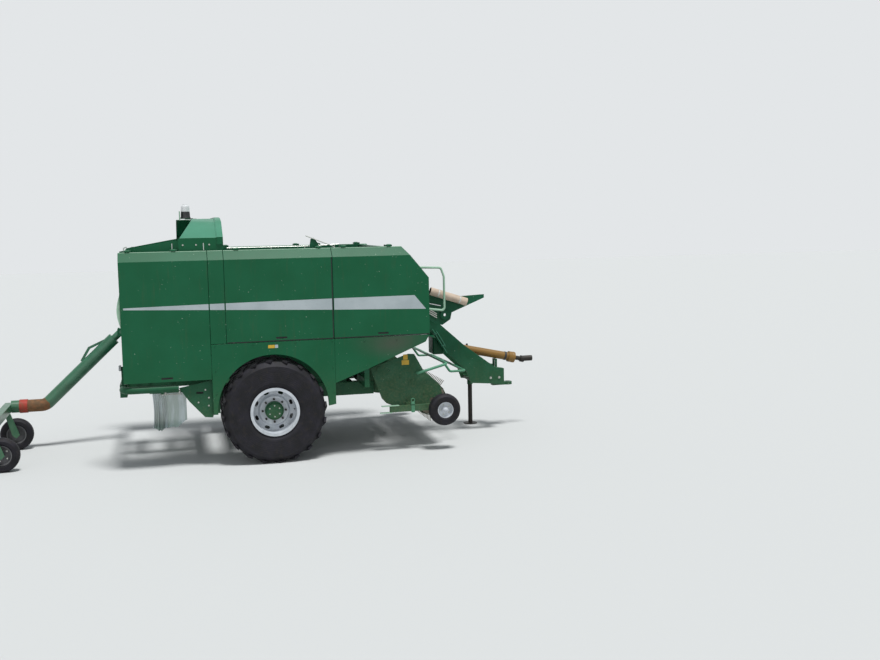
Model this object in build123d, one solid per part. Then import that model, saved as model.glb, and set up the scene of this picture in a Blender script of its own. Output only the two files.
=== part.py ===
from build123d import *
import os
from math import cos, pi, radians, sin, sqrt, tan

# Towed round baler with a built-in film wrapper, in millimetres.
# Layout frame: X forward from the road axle, Y to the machine's left, Z up from the floor.
# Every piece is moved by -middle_x at the end, so the origin is the middle of the footprint.

# Fits
gap = 0.3                     # seat between two pieces of one body
pin_play = 0.05               # radial play of a pin or shaft in its bore
clear = 6.0                   # least room beside a moving piece

# Bale chamber
bale_r = 625.0
bale_w = 1230.0
chamber_x = 550.0
chamber_z = 1615.0
roller_r = 95.0
roller_rib = 6.0              # height of a roller's grip ribs
rib_count = 9                 # grip ribs round a roller
plate_t = 12.0                # chamber side plate
split_z = chamber_z - 62.0    # level where the chamber parts
gate_pivot_x = chamber_x + 835.0
gate_pivot_z = chamber_z + 75.0
gate_pin_r = 20.0

# Chassis rails, outside the chamber
rail_w = 60.0
rail_h = 160.0
rail_room = 65.0              # middle of a rail outside the bale
rail_y = bale_w / 2 + rail_room
rail_front_x = 1300.0
cross_member_w = 100.0
cross_member_h = 90.0

# Road wheels, outside the rails
tyre_r = 622.0
tyre_w = 560.0
wheel_room = 10.0             # between a rail and its tyre
wheel_z = tyre_r
wheel_y = rail_y + rail_w / 2 + wheel_room + tyre_w / 2
rim_r = 292.0                 # rim flange
rim_wall = 12.0
disc_t = 14.0
disc_in = 165.0               # disc face behind the outer flange
dish_h = 28.0                 # height of the stud plate above the disc
dish_r = 170.0                # radius of the stud plate
hub_r = 112.0
spindle_r = 40.0
stud_pcd = 275.0
stud_count = 8
stud_r = 13.0
hand_hole_r = 222.0           # circle of the hand holes
lug_h = 12.0                  # tread bar height
lug_w = 66.0
lug_count = 20                # tread bars on each half of a road tyre
axle_h = 120.0
rail_z = wheel_z + axle_h / 2 + gap   # bottom of the rails, on the axle beam

# Outer body, just inside the tyres' outer faces
body_inset = 45.0
side_y = wheel_y + tyre_w / 2 - body_inset   # outer face of the side panels
panel_t = 40.0                # depth of a side panel with its folded edge
skin_t = 4.0                  # sheet of the side panels
chamfer = 106.0               # 45 degree band along the top edge
rear_x = -1705.0
ring_seam_x = -712.0
strip_front_x = -530.0
door_seam_x = 737.0
front_x = 1920.0
front_cut_x = 1605.0          # where the sloping front corner starts
seam = 6.0                    # gap between two side panels

# Frames behind the side panels
post_out = side_y - panel_t - clear   # outer face of the posts
post_w = 46.0
post_in = post_out - post_w
knee_t = 12.0
post_d = 70.0                 # portal depth along X
portal_front_x = -632.0
post_low_z = 640.0
cross_h = 180.0
outrigger_z = 950.0           # top of the outriggers
front_post_x = 1130.0
top_rail_out = side_y - 155.0
top_rail_in = top_rail_out - 60.0
top_rail_h = 58.0

# Wrap ring
ring_z = chamber_z + 105.0
ring_x = -745.0               # middle of the ring's section
ring_d = 60.0                 # ring section along X
ring_room = 23.0              # between the ring and the posts
ring_out = post_in - ring_room
ring_in = ring_out - 90.0
film_r = 105.0
film_len = 750.0
guide_r = 35.0
cross_z = ring_z - 860.0      # bottom of the portal's cross member

# Levels of the body, over the ring's middle
top_z = ring_z + 828.0        # top edge of the side panels
low_door_z = top_z - 1498.0   # bottom of the rear doors
door_z = top_z - 1083.0       # bottom of the other doors
front_cut_z = top_z - 386.0   # where the sloping front corner ends

# Wrap table
table_front_x = -810.0
table_rear_x = -1480.0
table_z = ring_z - 650.0
table_roller_r = 95.0
table_y = 400.0               # half length of the table rollers
beam_y = 290.0                # middle of a table beam
beam_w = 80.0
beam_z = cross_z
beam_h = 90.0
rear_tube_x = -1720.0

# Pick-up
pick_pivot_x = 1320.0
pick_pivot_z = 1030.0
reel_x = 1985.0
reel_z = 610.0
tine_r = 285.0                # tine tip radius
band_r = 205.0
pick_y = 1000.0               # inner face of the pick-up side plates
gauge_r = 198.0
gauge_w = 140.0
gauge_x = 2096.0
gauge_z = 511.0
gauge_y = 1205.0
rotor_x = 1390.0
rotor_z = 905.0
rotor_r = 210.0

# Drawbar and hitch
draw_y = 250.0                # outer face of the drawbar plates
draw_t = 16.0
flange_w = 70.0               # top flange of a drawbar plate
flange_t = 14.0
eye_x = 3330.0
eye_z = 600.0
eye_bore_r = 25.0
pto_r = 55.0
pto_front_x = 3690.0

# End-tip kit
tip_y = 690.0
tip_pivot_x = -1790.0
tip_pivot_z = 1480.0
tip_elbow_x = -2770.0
tip_elbow_z = 560.0
tip_run = 420.0               # level run of the tube behind its elbow
tip_tube_r = 80.0
tip_wheel_x = -3140.0
tip_wheel_r = 205.0
tip_wheel_w = 130.0
tip_right_y = -620.0          # middle of the right tip wheel
tip_rear_x = -3650.0

middle_x = (pto_front_x + tip_rear_x) / 2

pieces = {}


def box(x0, x1, y0, y1, z0, z1):
    """A block between two corners."""
    return Pos((x0 + x1) / 2, (y0 + y1) / 2, (z0 + z1) / 2) * Box(x1 - x0, y1 - y0, z1 - z0)


def cyl_x(x0, x1, y, z, r):
    """A round bar along X."""
    return Plane((x0, y, z), (0, 1, 0), (1, 0, 0)) * extruded_circle(r, x1 - x0)


def cyl_y(y0, y1, x, z, r):
    """A round bar along Y."""
    return Plane((x, y0, z), (1, 0, 0), (0, 1, 0)) * extruded_circle(r, y1 - y0)


def cyl_z(z0, z1, x, y, r):
    """A round bar along Z."""
    return Plane((x, y, z0), (1, 0, 0), (0, 0, 1)) * extruded_circle(r, z1 - z0)


def extruded_circle(r, length):
    return extrude(Circle(r), amount=length)


def bar(start, end, r):
    """A round bar between two points."""
    run = Vector(*end) - Vector(*start)
    return Plane(origin=start, z_dir=run) * extruded_circle(r, run.length)


def span_y(sign, near, far):
    """Two distances from the middle plane as low and high Y on one side."""
    return sorted((sign * near, sign * far))


def side_plate(points, y0, y1):
    """An outline of (x, z) points, thick from y0 to y1."""
    face = make_face(Polyline(*points, close=True))
    return extrude(Plane((0, y1, 0), (1, 0, 0), (0, -1, 0)) * face, amount=y1 - y0)


def cross_plate(points, x0, x1):
    """An outline of (y, z) points, thick from x0 to x1."""
    face = make_face(Polyline(*points, close=True))
    return extrude(Plane((x0, 0, 0), (0, 1, 0), (1, 0, 0)) * face, amount=x1 - x0)


def ring_y(y0, y1, x, z, outer, inner):
    """A round ring about an axis along Y."""
    return cyl_y(y0, y1, x, z, outer) - cyl_y(y0 - 1, y1 + 1, x, z, inner)


def ring_x_axis(x0, x1, y, z, outer, inner):
    """A round ring about an axis along X."""
    return cyl_x(x0, x1, y, z, outer) - cyl_x(x0 - 1, x1 + 1, y, z, inner)


def tube_path(points, radii, r):
    """A round tube along straight runs joined by arcs."""
    path = FilletPolyline(*points, radius=radii)
    start = Vector(*points[0])
    face = Plane(origin=start, z_dir=Vector(*points[1]) - start) * Circle(r)
    return sweep(face, path=path)


def mirrored(shape):
    """The same piece on the machine's other side."""
    return mirror(shape, about=Plane.XZ)


def both(shape):
    """A piece and its twin on the other side, as separate solids."""
    return [shape, mirrored(shape)]


def keep(name, shapes):
    """Add one solid or several to a node; the solids of a node do not touch."""
    if not isinstance(shapes, (list, tuple)):
        shapes = [shapes]
    for shape in shapes:
        pieces.setdefault(name, []).extend(shape.solids())


def road_tyre(side, sign):
    """A wide tyre with two rows of slanted tread bars."""
    half = tyre_w / 2
    bead_r = rim_r - 22
    base_r = tyre_r - lug_h
    outline = Polyline((-half + 45, bead_r), (half - 45, bead_r), (half, bead_r + 85), (half, base_r - 62),
                       (half - 50, base_r - 12), (half - 120, base_r), (-half + 120, base_r),
                       (-half + 50, base_r - 12), (-half, base_r - 62), (-half, bead_r + 85), close=True)
    casing = revolve(make_face(outline), axis=Axis.X)
    tread_space = Rot(0, 90, 0) * extrude(Circle(tyre_r), amount=half - 12, both=True)
    bar_run = half - 24
    bars = []
    for index in range(2 * lug_count):
        row = 1 if index % 2 else -1
        lug = Rot(0, 0, row * 28) * Box(bar_run, lug_w, 2 * lug_h + 8)
        lug = Pos(row * (bar_run / 2 + 8), 0, base_r) * lug
        bars.append(Rot(180 * index / lug_count, 0, 0) * lug)
    tyre = casing + [lug & tread_space for lug in bars]
    keep("tyre_" + side, Pos(0, sign * wheel_y, wheel_z) * Rot(0, 0, 90) * tyre)


def road_rim(side, sign):
    """Flanged barrel, dished disc with oval hand holes, hub and wheel nuts, bored for the spindle."""
    barrel_r = rim_r - 22 - gap
    inner_r = barrel_r - rim_wall
    face = wheel_y + tyre_w / 2 - 15
    disc = face - disc_in
    studs = disc + dish_h
    rim = ring_y(*span_y(sign, wheel_y - tyre_w / 2 + 30, face - 5), 0, wheel_z, barrel_r, inner_r)
    rim += ring_y(*span_y(sign, face - 14, face), 0, wheel_z, rim_r, inner_r)
    dish = [(0, studs), (dish_r, studs), (dish_r + 22, disc), (barrel_r - 1, disc),
            (barrel_r - 1, disc - disc_t), (dish_r + 16, disc - disc_t), (dish_r - 6, studs - disc_t),
            (0, studs - disc_t)]
    plate = make_face(Polyline(*[(radius, sign * y) for radius, y in dish], close=True))
    plate = Pos(0, 0, wheel_z) * revolve(plate, axis=Axis.Y)
    through = Plane((0, span_y(sign, disc - 40, disc)[0], wheel_z), (1, 0, 0), (0, 1, 0))
    for index in range(stud_count):
        turn = Rot(0, 0, 360 * (index + 0.5) / stud_count)
        hole = through * turn * Pos(hand_hole_r, 0) * Rot(0, 0, 90) * SlotOverall(64, 36)
        plate -= extrude(hole, amount=60)
    rim += plate
    rim += cyl_y(*span_y(sign, disc - 110, disc + 95), 0, wheel_z, hub_r - 22)
    rim += cyl_y(*span_y(sign, disc - 5, disc + 60), 0, wheel_z, hub_r)
    for index in range(stud_count):
        angle = 2 * pi * index / stud_count
        at = (stud_pcd / 2 * cos(angle), wheel_z + stud_pcd / 2 * sin(angle))
        rim += cyl_y(*span_y(sign, studs - 2, studs + 20), *at, stud_r)
    rim -= cyl_y(*span_y(sign, disc - 112, disc + 60), 0, wheel_z, spindle_r + pin_play)
    keep("rim_" + side, rim)


def axle():
    """Axle beam under the rails with a spindle at each end."""
    half = axle_h / 2
    beam_end = rail_y + rail_w / 2
    beam = box(-half, half, -beam_end, beam_end, wheel_z - half, wheel_z + half)
    disc = wheel_y + tyre_w / 2 - 15 - disc_in
    beam += cyl_y(-disc - 55, disc + 55, 0, wheel_z, spindle_r)
    keep("axle_beam", beam)


def chassis():
    """Two rails and the cross members between them."""
    rails = []
    for sign in (-1, 1):
        y0, y1 = span_y(sign, rail_y - rail_w / 2, rail_y + rail_w / 2)
        rails.append(box(portal_front_x + gap, rail_front_x, y0, y1, rail_z, rail_z + rail_h))
    inner = rail_y - rail_w / 2 - gap
    half = cross_member_w / 2
    for x in (-430, 1080):
        rails.append(box(x - half, x + half, -inner, inner, rail_z, rail_z + cross_member_h))
    keep("chassis_rails", rails)


def upright(x0, x1, sign):
    """A post behind the side panels and the knee that ties it to the top rail."""
    y0, y1 = span_y(sign, post_in, post_out)
    post = box(x0, x1, y0, y1, post_low_z if x0 < 0 else outrigger_z + gap, top_z - 130)
    knee = cross_plate([(sign * (post_in - gap), top_z - 130), (sign * (post_in - gap), top_z - 330),
                        (sign * (top_rail_out + gap), top_z - 55), (sign * (top_rail_out + gap), top_z - 18)],
                       (x0 + x1 - knee_t) / 2, (x0 + x1 + knee_t) / 2)
    return [post, knee]


def portal():
    """The square frame that carries the wrap ring: posts, cross member and head beam."""
    x0, x1 = portal_front_x - post_d, portal_front_x
    frame = []
    for sign in (-1, 1):
        frame += upright(x0, x1, sign)
        y0, y1 = span_y(sign, rail_y - rail_w / 2, rail_y + rail_w / 2)
        frame.append(box(x0, x1, y0, y1, rail_z, cross_z - gap))
    inner = post_in - gap
    frame.append(box(x0, x1, -inner, inner, cross_z, cross_z + cross_h))
    frame.append(box(x0, x1, -top_rail_out, top_rail_out, top_z - top_rail_h, top_z))
    keep("portal_frame", frame)


def side_frames():
    """Outriggers, front posts and side rails that carry the side panels."""
    x0, x1 = front_post_x - 30, front_post_x + 30
    low = rail_z + rail_h + gap
    frame = []
    for sign in (-1, 1):
        frame += upright(x0, x1, sign)
        y0, y1 = span_y(sign, rail_y - rail_w / 2, post_out)
        frame.append(box(x0, x1, y0, y1, low, outrigger_z))
        y0, y1 = span_y(sign, post_in, post_out)
        frame.append(box(portal_front_x + gap, x0 - gap, y0, y1, door_z - 70, door_z - 10))
        frame.append(box(x1 + gap, front_x - 90, y0, y1, door_z - 70, door_z - 10))
    keep("side_frames", frame)


def top_rails():
    """Box rails under the top edges of the side panels, from the rear to the front."""
    rails = []
    for sign in (-1, 1):
        y0, y1 = span_y(sign, top_rail_in, top_rail_out)
        for x0, x1 in ((rear_x + 30, portal_front_x - post_d - gap),
                       (portal_front_x + gap, front_cut_x - 60)):
            rails.append(box(x0, x1, y0, y1, top_z - top_rail_h, top_z))
    cross_x = front_cut_x - 110
    rails.append(box(cross_x - 30, cross_x + 30, -top_rail_in + 2 * gap, top_rail_in - 2 * gap,
                     top_z - top_rail_h, top_z - 8))
    keep("side_frames", rails)


def panel_layer(inset, low_z, short):
    """The (y, z) line of a side panel's section, inset from its face and ending short of its top edge."""
    tilt = sqrt(0.5)
    return [(side_y - inset, low_z),
            (side_y - inset, top_z - chamfer - inset * tan(radians(22.5))),
            (side_y - chamfer + (short - inset) * tilt, top_z - (short + inset) * tilt)]


def panel_block(x0, x1, low_z, near, far, short, sign):
    """What lies between two layers of a side panel."""
    outline = panel_layer(near, low_z, short) + panel_layer(far, low_z, short)[::-1]
    return cross_plate([(sign * y, z) for y, z in outline], x0, x1)


def folded_panel(x0, x1, low_z, depth, sign, sloped=False):
    """A sheet side panel with its 45 degree top band and an edge folded inwards all round."""
    panel = panel_block(x0, x1, low_z, 0, depth, 0, sign)
    hollow = panel_block(x0 + skin_t, x1 - skin_t, low_z + skin_t, skin_t, depth + 1, skin_t, sign)
    if sloped:
        panel -= front_corner(sign, 0)
        hollow -= front_corner(sign, skin_t)
    return panel - hollow


def flat_pan(face, depth, sign):
    """A flat sheet panel of a given (x, z) face with an edge folded inwards all round."""
    outside = Plane((0, side_y, 0), (1, 0, 0), (0, -1, 0))
    inside = Plane((0, side_y - skin_t, 0), (1, 0, 0), (0, -1, 0))
    pan = extrude(outside * face, amount=depth)
    pan -= extrude(inside * offset(face, amount=-skin_t, kind=Kind.INTERSECTION), amount=depth)
    return pan if sign > 0 else mirrored(pan)


def latch_slot(x, z, sign):
    """The recess that takes a door latch."""
    y0, y1 = span_y(sign, side_y - 14, side_y + 5)
    return box(x - 65, x + 65, y0, y1, z - 11, z + 11)


def front_corner(sign, inset):
    """The wedge that the sloping front corner takes off a front door."""
    y0, y1 = span_y(sign, side_y - 300, side_y + 50)
    run, drop = front_x - front_cut_x, top_z - front_cut_z
    wedge = side_plate([(front_cut_x, top_z), (front_cut_x, top_z + 60), (front_x + 60, top_z + 60),
                        (front_x + 60, front_cut_z), (front_x, front_cut_z)], y0, y1)
    slope = sqrt(run ** 2 + drop ** 2)
    return Pos(-inset * drop / slope, 0, -inset * run / slope) * wedge


# Doors: name, rear x, front x, bottom z, latch x, hinge places along x
door_rows = [
    ("rear_door", rear_x, ring_seam_x - seam, low_door_z, -1222.0, (-1600.0, -1090.0)),
    ("middle_door", strip_front_x, door_seam_x - seam / 2, door_z, 108.0, (-380.0, 590.0)),
    ("front_door", door_seam_x + seam / 2, front_x, door_z, 1338.0, (890.0, 1450.0)),
]
hinge_y = side_y - chamfer - 2
hinge_z = top_z + 14
hinge_pin_r = 8.0
knuckle_r = 16.0
knuckle_w = 50.0
cheek_x = 40.0                # outer face of a hinge cheek from the hinge's middle
cheek_t = 12.0
rib_w = 72.0                  # base of a door rib
rib_d = 22.0


def doors():
    """Six top-hinged side doors, each stiffened by two upright ribs behind its hinges."""
    for side, sign in (("right", -1), ("left", 1)):
        for name, x0, x1, low, latch, hinges in door_rows:
            door = folded_panel(x0, x1, low, panel_t, sign, sloped=x1 == front_x)
            door -= latch_slot(latch, low + 40, sign)
            for x in hinges:
                door += door_rib(x, low + 70, sign)
                door += cyl_x(x - knuckle_w / 2, x + knuckle_w / 2, sign * hinge_y, hinge_z, knuckle_r)
            for x in hinges:
                door -= cyl_x(x - knuckle_w, x + knuckle_w, sign * hinge_y, hinge_z, hinge_pin_r + pin_play)
            keep(f"{name}_{side}", door)


def door_rib(x, low_z, sign):
    """A hat-section rib on the inner side of a door."""
    half, crown, wall = rib_w / 2, rib_w / 4, skin_t / 2
    line = [(-half, 0), (-crown, rib_d), (crown, rib_d), (half, 0), (half - wall, 0),
            (crown - wall, rib_d - wall), (wall - crown, rib_d - wall), (wall - half, 0)]
    root = side_y - skin_t + 0.5
    face = make_face(Polyline(*[(x + across, sign * (root - deep)) for across, deep in line], close=True))
    return extrude(Pos(0, 0, low_z) * face, amount=top_z - chamfer - 20 - low_z)


def door_hinges():
    """Hinge brackets on the top rails: two cheeks, a foot and the pin between them."""
    brackets = []
    for sign in (-1, 1):
        cheek_span = span_y(sign, top_rail_in + 5, hinge_y)
        nose_span = span_y(sign, hinge_y - 12, hinge_y + 1)
        foot_span = span_y(sign, top_rail_in + 5, top_rail_out - 8)
        for *_, hinges in door_rows:
            for x in hinges:
                bracket = cyl_x(x - cheek_x, x + cheek_x, sign * hinge_y, hinge_z, hinge_pin_r)
                for x0 in (x - cheek_x, x + cheek_x - cheek_t):
                    x1 = x0 + cheek_t
                    bracket += box(x0, x1, *cheek_span, top_z + gap, hinge_z + 9)
                    bracket -= box(x0 - 1, x1 + 1, *nose_span, 0, hinge_z - 9)
                    bracket += cyl_x(x0, x1, sign * hinge_y, hinge_z, 9)
                bracket += box(x - cheek_x, x + cheek_x, *foot_span, top_z + gap, top_z + 8)
                brackets.append(bracket)
    keep("door_hinges", brackets)


# Wheel arch in the fixed side panels
arch_x = -5.0
arch_room = 33.0              # between the tyre and the arch
arch_z = wheel_z + arch_room
arch_r = tyre_r + arch_room
arch_low_z = arch_z - 25.0
arch_step_z = arch_z + 15.0


def fixed_panels():
    """Strips beside the ring, wheel arch panels and front skirts."""
    depth = side_y - post_out - gap
    panel_top = door_z - seam
    arch_front = door_seam_x - 1
    arch_outline = [(ring_seam_x, arch_low_z), (arch_x - arch_r, arch_low_z), (arch_x - arch_r, arch_z),
                    (arch_x + arch_r, arch_z), (arch_front, arch_step_z), (arch_front, panel_top),
                    (ring_seam_x, panel_top)]
    arch = make_face(Polyline(*arch_outline, close=True)) - Pos(arch_x, arch_z) * Circle(arch_r)
    skirt = make_face(Polyline((door_seam_x + 1, 926), (1150, 1080), (1865, 1375), (1914, panel_top),
                               (door_seam_x + 1, panel_top), close=True))
    panels = []
    for sign in (-1, 1):
        panels.append(folded_panel(ring_seam_x, strip_front_x - seam, door_z, depth, sign))
        panels.append(flat_pan(arch, depth, sign))
        panels.append(flat_pan(skirt, depth, sign))
    keep("fixed_side_panels", panels)


# Chamber rollers: angle about the chamber's middle, from straight ahead, turning over the top
roller_ring = bale_r + roller_r + 5
gate_angles = [10 + 20 * index for index in range(9)]
floor_angles = [190 + 20 * index for index in range(7)]
half_bale = bale_w / 2
plate_in = half_bale + 5
plate_out = plate_in + plate_t
shaft_out = plate_out + 60
shaft_r = 25.0


def ribbed_roller(x, z, half):
    """A chamber roller: ribbed drum with a stub shaft at each end."""
    outline = Circle(roller_r - roller_rib)
    for index in range(rib_count):
        outline += Rot(0, 0, 360 * index / rib_count) * Pos(roller_r - 8, 0) * Rectangle(16, 14)
    drum = extrude(outline, amount=half, both=True)
    drum = Pos(x, 0, z) * Rot(90, 0, 0) * drum
    return drum + cyl_y(-shaft_out, shaft_out, x, z, shaft_r)


def roller_place(angle):
    """Where a chamber roller stands."""
    return (chamber_x + roller_ring * cos(radians(angle)), chamber_z + roller_ring * sin(radians(angle)))


def chamber_side(angles, above):
    """The part of a round side plate above or below the split, bored for the roller shafts."""
    reach = roller_ring + roller_r - 10
    plate = cyl_y(plate_in, plate_out, chamber_x, chamber_z, reach)
    low, high = (split_z + clear, chamber_z + 2 * reach) if above else (0, split_z)
    plate = plate & box(chamber_x - 2 * reach, chamber_x + 2 * reach, plate_in, plate_out, low, high)
    for angle in angles:
        x, z = roller_place(angle)
        plate -= cyl_y(plate_in - 1, plate_out + 1, x, z, shaft_r + gap)
    return plate


def lower_chamber():
    """The fixed half of the bale chamber, carried between the rails."""
    keep("lower_rollers", [ribbed_roller(*roller_place(angle), half_bale) for angle in floor_angles])
    plate = chamber_side([], False)
    foot_out = rail_y - rail_w / 2 - gap
    foot_z = rail_z + 40
    plate += box(chamber_x - 420, chamber_x + 420, plate_in, plate_out, foot_z, chamber_z - 700)
    for x in (chamber_x - 380, chamber_x + 380):
        plate += box(x - 40, x + 40, plate_in, foot_out, foot_z, foot_z + 80)
    for angle in floor_angles:
        x, z = roller_place(angle)
        plate -= cyl_y(plate_in - 1, plate_out + 1, x, z, shaft_r + gap)
    keep("lower_chamber_sides", both(plate))


def gate():
    """The upper half of the bale chamber, which lifts about its front pivot."""
    keep("gate_rollers", [ribbed_roller(*roller_place(angle), half_bale) for angle in gate_angles])
    plate = chamber_side(gate_angles, True)
    plate += cyl_y(plate_in, plate_out, gate_pivot_x, gate_pivot_z, 60)
    plate -= cyl_y(plate_in - 1, plate_out + 1, gate_pivot_x, gate_pivot_z, gate_pin_r + pin_play)
    keep("gate_sides", both(plate))


arm_z = gate_pivot_z + 50.0   # top of the arms beside the net box
arm_front_x = 1800.0
cross_tube_front = 1590.0
cross_tube_w = 100.0
cross_tube_z = 1450.0         # bottom of the cross tube
net_front_x = 1860.0


def front_frame():
    """Columns and arms beside the chamber, the gate's pivot pins and the cross tube of the drawbar."""
    column_in = shaft_out + 10
    column_out = column_in + 60
    foot_x, elbow_x = front_post_x - 30, front_post_x + 60
    low = outrigger_z + gap
    frame = []
    for sign in (-1, 1):
        y0, y1 = span_y(sign, column_in, column_out)
        outline = [(foot_x, low), (front_post_x + 30, low), (elbow_x, arm_z - 140),
                   (arm_front_x, arm_z - 100), (arm_front_x, arm_z), (foot_x, arm_z)]
        column = side_plate(outline, y0, y1)
        column += cyl_y(*span_y(sign, plate_in - 5, column_in + 1), gate_pivot_x, gate_pivot_z, gate_pin_r)
        frame.append(column)
    keep("front_frame", frame)
    arm_rise = 40 / (arm_front_x - elbow_x)
    tube_top = arm_z - 140 + arm_rise * (cross_tube_front - cross_tube_w - elbow_x) - gap
    keep("front_frame", box(cross_tube_front - cross_tube_w, cross_tube_front, -column_out, column_out,
                            cross_tube_z, tube_top))


def net_box():
    """Housing of the net roll ahead of the chamber, with rounded edges and a lid across its slope."""
    half = shaft_out + 60
    low = arm_z + gap
    outline = [(1440, low), (1440, top_z - 248), (1700, top_z - 248), (net_front_x, top_z - 428),
               (net_front_x, low)]
    face = make_face(FilletPolyline(*outline, radius=30, close=True))
    housing = extrude(Plane((0, half, 0), (1, 0, 0), (0, -1, 0)) * face, amount=2 * half)
    lid = [(1730, top_z - 286), (1742, top_z - 280), (net_front_x - 20, top_z - 390),
           (net_front_x - 30, top_z - 404)]
    keep("net_box", housing + side_plate(lid, -half + 40, half - 40))


# Drawbar plate outline, (x, z): along the top from the cross tube to the hitch, then back underneath
drawbar_outline = [(cross_tube_front + gap, 1600), (2160, 1610), (2338, 1456), (2639, 1186), (3073, 864),
                   (3200, 840), (3200, 625), (2729, 664), (2670, 833), (2368, 1121), (2150, cross_tube_z),
                   (cross_tube_front + gap, cross_tube_z)]
drawbar_top_count = 6         # how many of the outline's points lie along its top
cradle_seat_z = 790.0         # top of the nose block, under the drive shaft's cradle
cradle_x = 3150.0
nose_x = 3090.0
nose_z = 620.0


def drawbar():
    """Two flanged plates with the cross pieces between them and the nose that carries the eye."""
    inner = draw_y - draw_t - gap
    plate = side_plate(drawbar_outline, draw_y - draw_t, draw_y)
    top = drawbar_outline[:drawbar_top_count]
    under = [(x, z - flange_t) for x, z in reversed(top)]
    plate += side_plate(top + under, draw_y - flange_w, draw_y)
    keep("drawbar", both(plate))
    spacers = [box(nose_x, 3195, -inner, inner, nose_z + gap + 8, cradle_seat_z),
               box(2740, 2840, -inner, inner, 680, 720),
               box(1700, 1780, -inner, inner, 1470, 1560),
               box(2100, 2180, -inner, inner, 1500, 1560)]
    keep("drawbar", spacers)
    eye = box(nose_x + 10, eye_x, -45, 45, eye_z - 20, eye_z + 20)
    eye += cyl_z(eye_z - 20, eye_z + 20, eye_x, 0, 62)
    eye += box(nose_x + 10, 3190, -90, 90, eye_z + 5, nose_z + 8)
    eye -= cyl_z(eye_z - 40, eye_z + 40, eye_x, 0, eye_bore_r)
    keep("hitch_eye", eye)


pto_rear = (2425.0, 0.0, 1166.0)
pto_slope = -0.217
pto_guard_front_x = 3430.0
yoke_bore = 90.0              # depth of the splined bore
yoke_bore_r = 17.5


def pto_point(x):
    """A point on the drive shaft's line."""
    return (x, 0.0, pto_rear[2] + pto_slope * (x - pto_rear[0]))


def driveline():
    """Main gearbox between the drawbar plates, the guarded shaft, its front yoke and its cradle."""
    inner = draw_y - draw_t - gap
    rear_x_on_line, _, rear_z = pto_rear
    gearbox = box(rear_x_on_line - 185, rear_x_on_line - 35, -130, 130, rear_z - 106, rear_z + 134)
    gearbox = fillet(gearbox.edges(), 22)
    gearbox += box(rear_x_on_line - 125, rear_x_on_line - 60, -inner, inner, rear_z + 70, rear_z + 120)
    gearbox += bar(pto_point(rear_x_on_line - 40), pto_rear, 62)
    keep("main_gearbox", gearbox)
    guard_rear_x = rear_x_on_line + 45
    guard = bar(pto_point(guard_rear_x), pto_point(pto_guard_front_x), pto_r)
    for x in (guard_rear_x, pto_guard_front_x - 90):
        guard += bar(pto_point(x), pto_point(x + 90), pto_r + 18)
    guard += bar(pto_point(rear_x_on_line + 2 * gap), pto_point(guard_rear_x + 10), 28)
    keep("pto_guard", guard)
    front = pto_point(pto_guard_front_x + gap)
    joint_x = pto_guard_front_x + 115
    yoke_z = front[2] - 20
    yoke = bar(front, pto_point(joint_x + 15), 30) + bar(pto_point(joint_x - 25), pto_point(joint_x + 25), 44)
    yoke += cyl_x(joint_x + 15, pto_front_x, 0, yoke_z, 38)
    yoke -= cyl_x(pto_front_x - yoke_bore, pto_front_x + 1, 0, yoke_z, yoke_bore_r)
    keep("pto_yoke", yoke)
    low = pto_point(cradle_x)[2] - pto_r - 7
    x0, x1 = cradle_x - 15, cradle_x + 15
    cradle = box(x0, x1, -60, 60, low - 12, low)
    for y in (-60, 48):
        cradle += box(x0, x1, y, y + 12, cradle_seat_z + gap, low - 12)
    keep("drawbar", cradle)


jack_x = 2880.0
jack_y = 315.0
jack_tube_r = 38.0
jack_leg_r = 30.0
jack_top_z = 1010.0


def jack():
    """Parking jack on the left of the drawbar: clamp, sleeve and crank, and the sliding leg with its foot."""
    sleeve = ring_z_axis(560, jack_top_z, jack_x, jack_y, jack_tube_r, jack_leg_r + pin_play)
    sleeve += cyl_z(jack_top_z, jack_top_z + 14, jack_x, jack_y, jack_tube_r)
    sleeve += cyl_z(jack_top_z + 10, jack_top_z + 44, jack_x, jack_y, 14)
    crank_y, crank_z = jack_y + 120, jack_top_z + 28
    sleeve += bar((jack_x, jack_y, crank_z), (jack_x, crank_y, crank_z), 8)
    sleeve += cyl_z(crank_z - 14, crank_z + 80, jack_x, crank_y, 12)
    clamp = box(jack_x - 60, jack_x + 60, draw_y + gap, jack_y - 20, 700, 850)
    clamp -= cyl_z(600, 900, jack_x, jack_y, jack_leg_r + 2)
    keep("jack_sleeve", sleeve + clamp)
    leg = cyl_z(10, 640, jack_x, jack_y, jack_leg_r) + cyl_z(0, 12, jack_x, jack_y, 95)
    keep("jack_leg", leg)


def ring_z_axis(z0, z1, x, y, outer, inner):
    """A round ring about an upright axis."""
    return cyl_z(z0, z1, x, y, outer) - cyl_z(z0 - 1, z1 + 1, x, y, inner)


# Film dispenser, as (y, z above the ring's middle) of its parts
film_roll_at = (1040.0, 85.0)
stretch_rollers = [(1000.0, -70.0), (1082.0, -95.0)]
tie_bars = [(964.0, -30.0), (1100.0, -20.0)]
dispenser_plate = [(955, -150), (1105, -150), (1110, 190), (975, 190)]


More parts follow.
